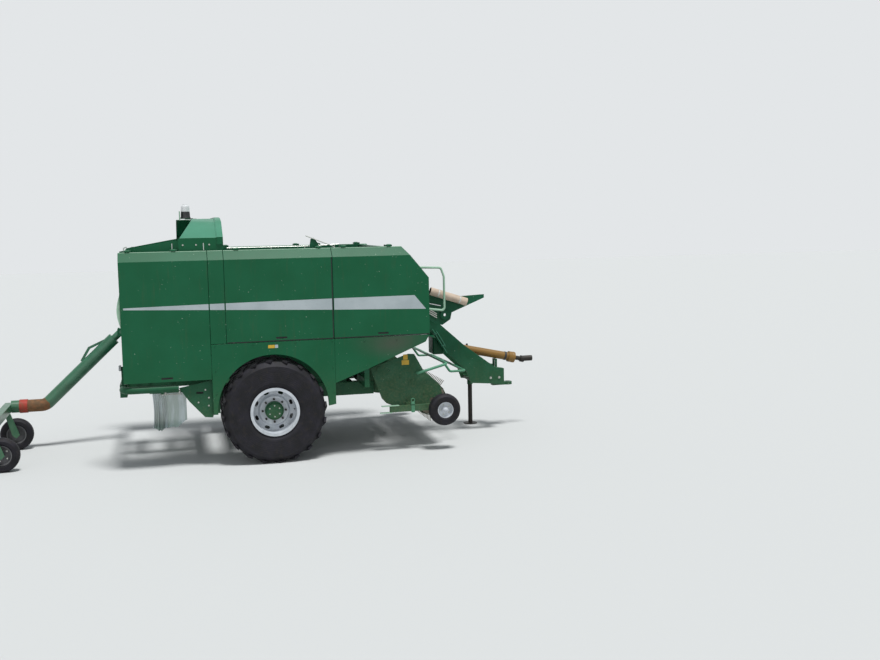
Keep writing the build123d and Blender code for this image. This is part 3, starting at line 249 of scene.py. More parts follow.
@dataclass(frozen=True)
class Enamel(Finish):
    """Machinery enamel, stoved on sheet and tube: a glossy skin with a faint orange peel, dusty low down.

    Its orange peel is drawn at 5 mm, three times as coarse as the real one, to show at this distance.
    """

    name: str
    colour: str
    shade: str
    roughness: float = 0.34
    dust: float = 0.35  # how much of the paint the dust hides near the ground
    dust_top_m: float = 1.3
    dust_full_m: float = 0.25
    patch_mm: float = 420.0  # fading in the sun
    run_mm: float = 38.0  # dirty runs down the sheet
    chip_mm: float = 17.0
    speck_mm: float = 28.0  # clots of dust and chaff
    smear_mm: float = 150.0  # wiped and rained-on stretches
    peel_mm: float = 5.0
    stain: str = "#4a4a34"
    chip: str = "#aebfae"
    field_dust: str = "#77785a"  # dry earth and chaff
    grime: str = "#4d4c44"
    haze: Optional[tuple[float, float, float]] = None  # x, z and reach of a grimy patch, in metres
    haze_flat: float = 2.2  # how many times wider than high the grimy patch is
    shine: float = 0.18

    def build(self, graph: Graph) -> bpy.types.Material:
        """Fading in broad patches, dirty runs down the sheet, stone chips, chaff near the ground.

        Args:
            graph: the new material's graph.

        Returns:
            The finished material.
        """
        cloud = graph.span(graph.noise(self.patch_mm, 4), 0.3, 0.72)
        paint = graph.blend(cloud, linear(self.colour), linear(self.shade))
        runs = graph.span(graph.noise(self.run_mm, 3, (1, 1, 9)), 0.56, 0.8)
        paint = graph.blend(graph.times(runs, 0.16), paint, linear(self.stain))
        chips = graph.span(graph.noise(self.chip_mm, 1.5), 0.765, 0.785)
        paint = graph.blend(graph.times(chips, 0.7), paint, linear(self.chip))
        low = graph.span(graph.height(), self.dust_top_m, self.dust_full_m)
        speck = graph.span(graph.noise(self.speck_mm, 6, rough=0.6), 0.35, 0.75, 0.35, 1.0)
        dust = graph.times(graph.times(low, speck), self.dust)
        paint = graph.blend(dust, paint, linear(self.field_dust))
        if self.haze:
            x, z, reach = self.haze
            patch = graph.span(graph.across(x, z, self.haze_flat), reach, 0.0)
            patch = graph.times(patch, graph.span(cloud, 0, 1, 0.5, 0.75))
            paint = graph.blend(patch, paint, linear(self.grime))
        smear = graph.span(graph.noise(self.smear_mm, 5), 0.3, 0.75)
        gloss = graph.plus(graph.times(smear, 0.05), self.roughness)
        gloss = graph.plus(gloss, graph.times(dust, 0.5))
        peel = graph.bump(graph.noise(self.peel_mm, 2), 0.08)
        return graph.finish({"Base Color": paint, "Roughness": gloss, "Normal": peel,
                             "Specular IOR Level": self.shine})


@dataclass(frozen=True)
class TyreRubber(Finish):
    """Vulcanised tyre compound, moulded: near black and matt, with sidewall rings and soil in its grain.

    Its moulded grain is drawn at 4 mm, four times as coarse as the real one, to show at this distance.
    """

    name: str = "vulcanised_tyre_rubber"
    colour: str = "#1b1b1e"
    worn: str = "#232229"
    soil: str = "#4a443b"
    soil_share: float = 0.3
    wear_mm: float = 130.0
    soil_mm: float = 46.0
    grain_mm: float = 4.0
    axle: tuple[float, float] = (AXLE_X, AXLE_Z)  # x and z of the wheel's middle, in metres
    radius: float = AXLE_Z
    ring_gap: float = 0.035  # from one sidewall ring to the next, as a share of the radius
    wall: tuple[float, float] = (0.52, 0.84)  # where the rings start and end, as shares of the radius

    def rings(self, graph: Graph) -> bpy.types.NodeSocket:
        """Moulded rings round the sidewall, 22 mm apart on a road tyre.

        Args:
            graph: the material's graph.

        Returns:
            A socket that is 1 on a ring and 0 beside it.
        """
        start, end = self.wall
        share = graph.times(graph.across(*self.axle), 1 / self.radius)
        wave = graph.times(share, math.tau / self.ring_gap)
        ridge = graph.span(add_node(graph.tree, "Math", {0: wave}, operation="SINE").outputs[0], 0.55, 0.95)
        wall = graph.times(graph.span(share, start, start + 0.04), graph.span(share, end, end - 0.04))
        return graph.times(ridge, wall)

    def build(self, graph: Graph) -> bpy.types.Material:
        """Broad bluish wear, soil speckle, moulded rings and a fine moulded grain.

        Args:
            graph: the new material's graph.

        Returns:
            The finished material.
        """
        cloud = graph.span(graph.noise(self.wear_mm, 5), 0.35, 0.7)
        base = graph.blend(cloud, linear(self.colour), linear(self.worn))
        speck = graph.span(graph.noise(self.soil_mm, 7, rough=0.66), 0.5, 0.74)
        base = graph.blend(graph.times(speck, self.soil_share), base, linear(self.soil))
        grain = graph.bump(graph.noise(self.grain_mm, 4), 0.35, graph.bump(self.rings(graph), 2.5))
        rough = graph.span(speck, 0, 1, 0.62, 0.85)
        return graph.finish({"Base Color": base, "Roughness": rough, "Normal": grain,
                             "Specular IOR Level": 0.22})


@dataclass(frozen=True)
class BareSteel(Finish):
    """Mild steel, rolled or turned: bright where crop or a spanner rubs it, freckled with rust elsewhere.

    Its turning marks are drawn at 3 mm, about ten times as coarse as the real ones, to show at all.
    """

    name: str
    colour: str = "#a9a69f"
    rust: str = "#6a3f26"
    rust_share: float = 0.35
    roughness: float = 0.38
    rust_mm: float = 70.0
    scour_mm: float = 3.0

    def build(self, graph: Graph) -> bpy.types.Material:
        """Scoured metal with rust freckles, which aren't metal.

        Args:
            graph: the new material's graph.

        Returns:
            The finished material.
        """
        patch = graph.span(graph.noise(self.rust_mm, 6, rough=0.65), 0.5, 0.72)
        patch = graph.times(patch, self.rust_share)
        base = graph.blend(patch, linear(self.colour), linear(self.rust))
        metal = graph.span(patch, 0, 0.6, 1.0, 0.1)
        scour = graph.noise(self.scour_mm, 2, (1, 14, 1))
        sheen = graph.span(scour, 0.3, 0.7, self.roughness, self.roughness + 0.1)
        rough = graph.plus(graph.times(patch, 0.5), sheen)
        return graph.finish({"Base Color": base, "Roughness": rough, "Metallic": metal,
                             "Normal": graph.bump(scour, 0.05)})


@dataclass(frozen=True)
class Moulded(Finish):
    """Injection-moulded plastic, moulded rubber or wound card: an even colour, scuffed and chalked.

    Its grain is drawn at 2 mm, about ten times as coarse as the real one, to show at all.
    """

    name: str
    colour: str
    chalk: str
    roughness: float = 0.45
    scuff_mm: float = 35.0
    grain_mm: float = 2.0

    def build(self, graph: Graph) -> bpy.types.Material:
        """Chalky scuffs over a fine grain.

        Args:
            graph: the new material's graph.

        Returns:
            The finished material.
        """
        scuff = graph.span(graph.noise(self.scuff_mm, 6, (2, 1, 1), 0.6), 0.45, 0.75)
        base = graph.blend(graph.times(scuff, 0.5), linear(self.colour), linear(self.chalk))
        rough = graph.span(scuff, 0, 1, self.roughness, self.roughness + 0.2)
        grain = graph.bump(graph.noise(self.grain_mm, 2), 0.04)
        return graph.finish({"Base Color": base, "Roughness": rough, "Normal": grain})


@dataclass(frozen=True)
class Lens(Finish):
    """Injection-moulded polycarbonate lens: clear or coloured, with prisms under a smooth face."""

    name: str
    colour: str
    prism_mm: float = 7.0
    prism_depth_mm: float = 0.6

    def build(self, graph: Graph) -> bpy.types.Material:
        """Ribs of the prism pattern under a coat.

        Args:
            graph: the new material's graph.

        Returns:
            The finished material.
        """
        waves = add_node(graph.tree, "TexWave", {"Vector": graph.place(),
                                                 "Scale": 1 / (self.prism_mm * MM * math.tau)},
                         bands_direction="Z")
        return graph.finish({"Base Color": linear(self.colour), "Roughness": 0.2, "Coat Weight": 0.8,
                             "IOR": 1.58, "Normal": graph.bump(waves.outputs["Fac"], self.prism_depth_mm)})


@dataclass(frozen=True)
class StretchFilm(Finish):
    """Blown polythene wrapping film: pale green, milky where it is creased into several layers."""

    name: str = "polythene_stretch_film"
    colour: str = "#6f877e"
    milk: str = "#a3b4b8"
    alpha: float = 0.82
    fold_mm: float = 60.0
    crease_mm: float = 24.0

    def build(self, graph: Graph) -> bpy.types.Material:
        """Long vertical creases between milky and green stretches.

        Args:
            graph: the new material's graph.

        Returns:
            The finished material.
        """
        fold = graph.span(graph.noise(self.fold_mm, 4, (1, 1, 6)), 0.4, 0.68)
        base = graph.blend(fold, linear(self.colour), linear(self.milk))
        crease = graph.bump(graph.noise(self.crease_mm, 3, (1, 1, 6)), 2.0)
        return graph.finish({"Base Color": base, "Roughness": 0.3, "Normal": crease, "Alpha": self.alpha,
                             "Coat Weight": 0.4, "Coat Roughness": 0.15})


@dataclass(frozen=True)
class Vinyl(Finish):
    """Calendered vinyl marking film, cut and stuck to the enamel: flat colour, slightly chalked."""

    name: str
    colour: str
    faded: str
    dirt: str = "#6f7367"
    fade_mm: float = 260.0
    dirt_mm: float = 24.0

    def build(self, graph: Graph) -> bpy.types.Material:
        """Soft fading and a little dirt.

        Args:
            graph: the new material's graph.

        Returns:
            The finished material.
        """
        fade = graph.span(graph.noise(self.fade_mm, 4), 0.3, 0.7)
        base = graph.blend(fade, linear(self.colour), linear(self.faded))
        dirt = graph.span(graph.noise(self.dirt_mm, 6), 0.6, 0.85)
        base = graph.blend(graph.times(dirt, 0.3), base, linear(self.dirt))
        return graph.finish({"Base Color": base, "Roughness": 0.42})


# Green enamels, from the washed panels down to what the sun and the crop have bleached or dusted, and paler
# greens painted as sky light and highlights
PANEL_GREEN = Enamel("stoved_green_panel_enamel", "#115435", "#155a3b", roughness=0.32, dust=0.2)
SKIRT_GREEN = Enamel("stoved_green_skirt_enamel", "#115435", "#155a3b", roughness=0.32, dust=0.3,
                     haze=(1.420, 1.400, 0.62))
FRAME_GREEN = Enamel("green_frame_enamel", "#114c31", "#18563c", roughness=0.38, dust=0.3, patch_mm=180)
DUSTY_GREEN = Enamel("dusty_green_pickup_enamel", "#134b31", "#1c563e", roughness=0.46, dust=0.5,
                     dust_top_m=1.7, patch_mm=140)
GLOSSY_GREEN = Enamel("glossy_green_tube_enamel", "#1b573b", "#296549", roughness=0.24, dust=0.2,
                      patch_mm=120, shine=0.6)
# Painted light: a paler green that stands in for sky light on the hood's upward faces, and for highlights on
# the drawbar pipes
SKY_LIT_GREEN = Enamel("painted_sky_light_green_enamel", "#33785c", "#3c8166", roughness=0.34, dust=0.1,
                      patch_mm=260, shine=0.4)
GUARD_GREEN = Enamel("bleached_green_hoop_enamel", "#3a7a5b", "#4b8a6c", roughness=0.36, dust=0.2,
                     patch_mm=90, shine=0.4)
# Painted highlight: a pale green that stands in for light on hems, edges, rails and strips
HIGHLIGHT_GREEN = Enamel("painted_highlight_green_enamel", "#9fbfa8", "#8bb096", roughness=0.4, dust=0.1, patch_mm=120)

# Enamels of the wheels, rods and tubes, and an elbow that has lost its paint
RIM_GREY = Enamel("silver_grey_rim_enamel", "#ccd1d7", "#b9bfc7", roughness=0.34, dust=0.2, patch_mm=90,
                  shine=0.4)
DARK_RIM = Enamel("grey_small_wheel_enamel", "#5b5b62", "#49494f", roughness=0.45, dust=0.2, patch_mm=60,
                  shine=0.4)
CREAM = Enamel("cream_tube_enamel", "#c9b7a4", "#b7a593", roughness=0.36, dust=0.1, patch_mm=120)
WHITE_ROD = Enamel("white_rod_enamel", "#cfd3cf", "#b9bdb8", roughness=0.4, dust=0.1, patch_mm=60)
RED_SLEEVE = Enamel("worn_red_sleeve_enamel", "#a3332c", "#8a4032", roughness=0.42, dust=0.2, patch_mm=50)
RUSTY_ELBOW = Enamel("rusted_elbow_steel", "#7d5236", "#5a4230", roughness=0.66, dust=0.3, patch_mm=45)

# Tyres, which differ only in where their sidewall rings lie
TYRE = TyreRubber()
GAUGE_TYRE = TyreRubber("vulcanised_gauge_tyre_rubber", axle=GAUGE_WHEEL, radius=0.198)
TIP_TYRE = TyreRubber("vulcanised_tip_tyre_rubber", axle=TIP_WHEEL, radius=0.205)

# Steels, from crop-polished rollers to oiled castings
ROLLER = BareSteel("crop_polished_roller_steel", "#86847d", roughness=0.44)
TINE = BareSteel("spring_steel_tines", "#8c8679", "#5d4630", 0.5, 0.42)
BOLT = BareSteel("zinc_plated_bolt_steel", "#b4b6b0", "#6a5a3c", 0.25, 0.34)
PIPE = BareSteel("zinc_plated_pipe_steel", "#c3c5bf", "#8a8064", 0.15, 0.3)
CHROME = BareSteel("chromed_rod_steel", "#d2d4d6", "#8b8d8e", 0.08, 0.14)
DARK_STEEL = BareSteel("oiled_cast_steel", "#3b3a38", "#4d3a2c", 0.3, 0.5)

# Plastics, rubber, card, film and vinyl
GUARD = Moulded("ochre_shaft_guard_plastic", "#7d5b1e", "#6a5429")
GREY_PLASTIC = Moulded("grey_lamp_housing_plastic", "#8f9395", "#a9acac")
# Black plastic, also used as painted shade inside the cream tube's bore
BLACK_PLASTIC_AND_SHADE = Moulded("black_plastic_and_painted_shade", "#1d1e20", "#3b3c3d")
# Black rubber, also used as painted shade: the strips in the panel seams and the sheets behind the gusset
# slots
BLACK_SEAL_AND_SHADE = Moulded("black_seal_and_painted_shade", "#0e0f10", "#1b1c1d", 0.7)
CARD = Moulded("brown_cardboard_core", "#8a6a45", "#a08460", 0.8)
WHITE_LENS = Lens("white_beacon_lens", "#d3d5d6", 9.0)
RED_LENS = Lens("red_lamp_lens", "#a3161b")
CLEAR_LENS = Lens("clear_lamp_lens", "#c9ced2")
FILM = StretchFilm()
WHITE_VINYL = Vinyl("white_stripe_vinyl", "#abb5b8", "#9da8ab")
YELLOW_VINYL = Vinyl("yellow_blank_label_vinyl", "#c9a227", "#b8962e")


class Shading(Enum):
    """How a CAD node's edges are rounded, by how it was made."""

    SHEET = (1.2, 2)  # bevel in millimetres and its segments
    FRAME = (2.5, 2)
    PLAIN = (0.0, 0)


@dataclass
class Dress:
    """The finish and edge radius that a group of CAD nodes gets."""

    finish: Finish
    shading: Shading
    nodes: tuple[str, ...]

    def apply(self) -> None:
        """Give each node the finish and soften its edges."""
        for name in self.nodes:
            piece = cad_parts[name]
            piece.data.materials.clear()
            piece.data.materials.append(self.finish.material())
            soften(piece, *self.shading.value)


def soften(piece: bpy.types.Object, radius_mm: float, segments: int) -> None:
    """Round a piece's edges a little, so that they catch the light.

    Args:
        piece: a mesh object.
        radius_mm: the width of the bevel, or 0 for smooth shading alone.
        segments: the bevel's segments.
    """
    mesh = piece.data
    mesh.polygons.foreach_set("use_smooth", [True] * len(mesh.polygons))
    mesh.set_sharp_from_angle(angle=BEVEL_ANGLE)
    if radius_mm <= 0:
        return
    weld = piece.modifiers.new("weld", "WELD")
    weld.merge_threshold = WELD_REACH
    bevel = piece.modifiers.new("bevel", "BEVEL")
    bevel.width = radius_mm * MM
    bevel.segments = segments
    bevel.limit_method = "ANGLE"
    bevel.angle_limit = BEVEL_ANGLE
    bevel.use_clamp_overlap = True
    piece.modifiers.new("flat faces", "WEIGHTED_NORMAL").keep_sharp = True


def doors_of(*kinds: str) -> tuple[str, ...]:
    """The names of the doors of some kinds on both sides."""
    return tuple(f"{kind}_door_{side}" for kind in kinds for side in SIDES)


DRESSES = (
    Dress(PANEL_GREEN, Shading.SHEET, doors_of("rear", "middle", "front") + ("ring_hood", "net_box")),
    Dress(SKIRT_GREEN, Shading.SHEET, ("fixed_side_panels",)),
    Dress(FRAME_GREEN, Shading.FRAME, ("axle_beam", "chassis_rails", "door_hinges", "drawbar",
                                       "film_dispensers", "front_fittings", "front_frame", "gate_sides",
                                       "hitch_eye", "jack_sleeve", "lower_chamber_sides", "main_gearbox",
                                       "portal_frame", "rear_frame", "rear_side_guards", "side_frames",
                                       "table_frame", "wrap_ring")),
    Dress(DUSTY_GREEN, Shading.FRAME, ("feed_housing", "gauge_arms", "pickup_bands", "pickup_frame")),
    Dress(GUARD_GREEN, Shading.FRAME, ("wind_guard",)),
    Dress(GLOSSY_GREEN, Shading.FRAME, ("tip_cradle", "tip_tube")),
    Dress(TYRE, Shading.FRAME, ("tyre_left", "tyre_right")),
    Dress(GAUGE_TYRE, Shading.FRAME, ("gauge_wheel_left", "gauge_wheel_right")),
    Dress(TIP_TYRE, Shading.FRAME, ("tip_wheel_left", "tip_wheel_right")),
    Dress(RIM_GREY, Shading.FRAME, ("rim_left", "rim_right")),
    Dress(ROLLER, Shading.FRAME, ("gate_rollers", "lower_rollers", "table_rollers", "ring_guides")),
    Dress(TINE, Shading.PLAIN, ("pickup_reel", "feed_rotor")),
    Dress(DARK_STEEL, Shading.FRAME, ("pto_yoke", "jack_leg")),
    Dress(CREAM, Shading.FRAME, ("hose_tube",)),
    Dress(GUARD, Shading.FRAME, ("pto_guard",)),
    Dress(FILM, Shading.PLAIN, ("film_rolls", "film_tail")),
    Dress(BLACK_PLASTIC_AND_SHADE, Shading.FRAME, ("lamps",)),
)


def repaint(node: str, finish: Finish, where: Callable[[Vector], bool], upward: float = ANY_WAY) -> None:
    """Give the faces of a CAD node that lie in one place a second finish.

    Args:
        node: the node's name.
        finish: the second finish.
        where: tells whether a face's middle lies in that place.
        upward: least Z of the face's normal, where only faces that look up are meant.
    """
    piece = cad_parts[node]
    slot = len(piece.data.materials)
    piece.data.materials.append(finish.material())
    for face in piece.data.polygons:
        if face.normal.z > upward and where(face.center):
            face.material_index = slot


def seat(node: str, start: Point, toward: Point) -> Vector:
    """Find where a straight line first meets a CAD node.

    Args:
        node: the node's name.
        start: a point outside the node.
        toward: the line's direction.

    Returns:
        The point on the node's surface.

    Raises:
        ValueError: if the line misses the node.
    """
    hit, where, _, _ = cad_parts[node].ray_cast(Vector(start), Vector(toward).normalized())
    if not hit:
        raise ValueError(f"{node} isn't on the line from {start} toward {toward}")
    return where


def seat_beside(node: str, sign: int, x: float, z: float) -> Vector:
    """Find where a line that comes in level from one side first meets a CAD node."""
    return seat(node, (x, sign * BESIDE, z), (0, -sign, 0))


def off_axis(at: Vector, x: float, z: float) -> float:
    """How far a point lies from an axis along y."""
    return math.hypot(at.x - x, at.z - z)


def slab(x0: float, x1: float, z0: float, z1: float, radius: float = 0.004) -> Outline:
    """A rectangle with round corners.

    Args:
        x0: its rear edge.
        x1: its front edge.
        z0: its lower edge.
        z1: its upper edge.
        radius: radius of its corners.

    Returns:
        Its outline, corner after corner.
    """
    points = []
    for x, z, start in ((x1 - radius, z0 + radius, -90), (x1 - radius, z1 - radius, 0),
                        (x0 + radius, z1 - radius, 90), (x0 + radius, z0 + radius, 180)):
        turns = [math.radians(start + step) for step in (0, 30, 60, 90)]
        points += [(x + radius * math.cos(a), z + radius * math.sin(a)) for a in turns]
    return points


class Axis(Enum):
    """The axis along a plate's thickness, as the order in which (u, v, thickness) become x, y and z."""

    X = (2, 0, 1)
    Y = (0, 2, 1)
    Z = (0, 1, 2)


@dataclass
class Build:
    """A mesh being put together for one piece of the machine."""

    name: str
    body: str
    finish: Finish
    slot: str

    def __post_init__(self) -> None:
        """Start with an empty mesh."""
        self.mesh = bmesh.new()

    def plate(self, outline: Outline, low: float, high: float, axis: Axis = Axis.Y) -> "Build":
        """Add a flat plate.

        Args:
            outline: points in the plane across the axis: (x, z) for Y, (y, z) for X, (x, y) for Z.
            low: where the plate starts along its axis.
            high: where it ends.
            axis: the axis along its thickness.

        Returns:
            The build itself.
        """
        rings = [[self.mesh.verts.new([(u, v, w)[place] for place in axis.value]) for u, v in outline]
                 for w in (low, high)]
        faces = [self.mesh.faces.new(rings[0]), self.mesh.faces.new(rings[1][::-1])]
        count = len(outline)
        for at in range(count):
            after = (at + 1) % count
            faces.append(self.mesh.faces.new((rings[0][at], rings[1][at], rings[1][after], rings[0][after])))
        bmesh.ops.recalc_face_normals(self.mesh, faces=faces)
        return self

    def stick(self, outline: Outline, sign: int, y: float, out: float) -> "Build":
        """Add a thin sheet that is stuck to a side face.

        Args:
            outline: its (x, z) points.
            sign: -1 on the right side, 1 on the left.
            y: where the face lies.
            out: how far the sheet stands out of it.

        Returns:
            The build itself.
        """
        return self.plate(outline, y - sign * SUNK, y + sign * out)

    def lathe(self, profile: Outline, centre: Point, axis: Point, steps: int = 48,
              closed: bool = True) -> "Build":
        """Add a turned shape.

        Args:
            profile: (distance along the axis, radius) points.
            centre: the axis's origin.
            axis: the axis's direction.
            steps: facets round the axis.
            closed: whether the profile's last point joins its first.

        Returns:
            The build itself.
        """
        turn = Vector(axis).normalized().to_track_quat("Z", "Y").to_matrix()
        rings = []
        for along, radius in profile:
            if radius < WELD_REACH:
                rings.append([self.mesh.verts.new(turn @ Vector((0, 0, along)) + Vector(centre))])
                continue
            angles = [math.tau * at / steps for at in range(steps)]
            points = [turn @ Vector((radius * math.cos(a), radius * math.sin(a), along)) for a in angles]
            rings.append([self.mesh.verts.new(point + Vector(centre)) for point in points])
        pairs = list(zip(rings, rings[1:])) + ([(rings[-1], rings[0])] if closed else [])
        faces = []
        for first, second in pairs:
            if len(first) == len(second) == 1:
                continue
            for at in range(steps):
                after = (at + 1) % steps
                corners = [first[at % len(first)], first[after % len(first)],
                           second[after % len(second)], second[at % len(second)]]
                corners = list(dict.fromkeys(corners))
                faces.append(self.mesh.faces.new(corners))
        bmesh.ops.recalc_face_normals(self.mesh, faces=faces)
        return self

    def tube(self, points: Sequence[Point], radius: float, bend: float = 0.03, steps: int = 14) -> "Build":
        """Add a round bar that turns at each inner point.

        Args:
            points: where its middle line runs.
            radius: half its thickness.
            bend: how far before a corner the turn starts.
            steps: facets round it.

        Returns:
            The build itself.
        """
        ends = [Vector(point) for point in points]
        path = [ends[0]]
        for before, corner, after in zip(ends, ends[1:], ends[2:]):
            first, last = (before - corner).normalized() * bend, (after - corner).normalized() * bend
            path += [corner + first * (1 - s) ** 2 + last * s ** 2 for s in (0, 0.25, 0.5, 0.75, 1)]
        path.append(ends[-1])
        normal = (path[1] - path[0]).orthogonal().normalized()
        rings = []
        for at, point in enumerate(path):
            along = (path[min(at + 1, len(path) - 1)] - path[max(at - 1, 0)]).normalized()
            normal = (normal - along * normal.dot(along)).normalized()
            side = along.cross(normal)
            turns = [math.tau * step / steps for step in range(steps)]
            rings.append([self.mesh.verts.new(point + (normal * math.cos(a) + side * math.sin(a)) * radius)
                          for a in turns])
        faces = [self.mesh.faces.new(rings[0]), self.mesh.faces.new(rings[-1][::-1])]
        for first, second in zip(rings, rings[1:]):
            for at in range(steps):
                after = (at + 1) % steps
                faces.append(self.mesh.faces.new((first[at], first[after], second[after], second[at])))
        bmesh.ops.recalc_face_normals(self.mesh, faces=faces)
        return self

    def bar(self, line: Outline, y: float, radius: float, bend: float = 0.03) -> "Build":
        """Add a round bar that keeps to one y, along (x, z) points."""
        return self.tube([(x, y, z) for x, z in line], radius, bend)

    def bolt(self, at: Point, out: Point, across_mm: float, high_mm: float) -> "Build":
        """Add a hexagon head with its washer.

        Args:
            at: where the washer sits.
            out: the direction that the head points.
            across_mm: the head's width across its corners.
            high_mm: the head's height.

        Returns:
            The build itself.
        """
        washer_mm = 3
        chamfer = 0.94  # each of them narrows to this share of its width
        turn = Vector(out).normalized().to_track_quat("Z", "Y").to_matrix().to_4x4()
        for sides, wide, low, high in ((16, 1.35, 0, washer_mm), (6, 1.0, washer_mm, high_mm)):
            radius = across_mm * MM / 2 * wide
            middle = Matrix.Translation(Vector(at)) @ turn @ Matrix.Translation((0, 0, (low + high) / 2 * MM))
            bmesh.ops.create_cone(self.mesh, cap_ends=True, segments=sides, radius1=radius,
                                  radius2=radius * chamfer, depth=(high - low) * MM, matrix=middle)
        return self

    def bolts_beside(self, node: str, sign: int, places: Outline, across_mm: float,
                     high_mm: float) -> "Build":
        """Add bolts on the outer face of a CAD node.

        Args:
            node: the node's name.
            sign: -1 on the right side, 1 on the left.
            places: (x, z) of each bolt.
            across_mm: a head's width across its corners.
            high_mm: a head's height.

        Returns:
            The build itself.
        """
        for x, z in places:
            self.bolt(seat_beside(node, sign, x, z), (0, sign, 0), across_mm, high_mm)
        return self

    def done(self, bevel_mm: float = 0.0, smooth: bool = True) -> bpy.types.Object:
        """Turn the build into an object that rides on its body.

        Args:
            bevel_mm: the edge radius.
            smooth: whether its faces are shaded smooth between sharp edges.

        Returns:
            The new object.
        """
        mesh = bpy.data.meshes.new(self.name)
        self.mesh.to_mesh(mesh)
        self.mesh.free()
        piece = bpy.data.objects.new(self.name, mesh)
        bpy.context.scene.collection.objects.link(piece)
        mesh.materials.append(self.finish.material())
        if smooth:
            soften(piece, bevel_mm, 2)
        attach(piece, self.body)
        LOG.info("%s rides on %s", self.name, self.body)
        return piece


@dataclass(frozen=True)
class SideStripe:
    """The white stripe along both sides, cut at every panel edge."""

    thick_mm: float = 0.5
    front_top_x: float = 1.715  # where its slanting front end starts, at the top
    tops: Outline = ((-1.690, 1.921), (-0.727, 1.935), (0.709, 1.948), (1.857, 1.953))
    lows: Outline = ((-1.690, 1.900), (-0.727, 1.866), (0.709, 1.813), (1.857, 1.780))
    # rear and front edge of each panel that carries a stretch
    panels: Places = (("rear_door", -1.690, -0.742), ("chassis", -0.727, -0.561),
                      ("middle_door", -0.545, 0.709), ("front_door", 0.725, 1.857))

    @staticmethod
    def level(line: Outline, x: float) -> float:
        """Read the height of a line of (x, z) points.

        Args:
            line: points from rear to front.
            x: where to read it.

        Returns:
            The height.
        """
        for (x0, z0), (x1, z1) in zip(line, line[1:]):
            if x <= x1:
                return z0 + (z1 - z0) * (x - x0) / (x1 - x0)
        return line[-1][1]

    def build(self) -> None:
        """Lay one stretch on each panel of each side."""
        for side, sign in SIDES.items():
            for panel, rear, front in self.panels:
                xs = [rear] + [x for x, _ in self.lows if rear < x < front] + [front]
                top = [(x, self.level(self.tops, x)) for x in xs]
                low = [(x, self.level(self.lows, x)) for x in xs]
                if panel == "front_door":
                    top = [(x, z) for x, z in top if x < self.front_top_x]
                    top.append((self.front_top_x, self.level(self.tops, self.front_top_x)))
                body = panel if panel == "chassis" else f"{panel}_{side}"
                build = Build(f"stripe_{panel}_{side}", body, WHITE_VINYL, "green_panel")
                build.stick(top + low[::-1], sign, sign * SIDE_Y, self.thick_mm * MM).done()


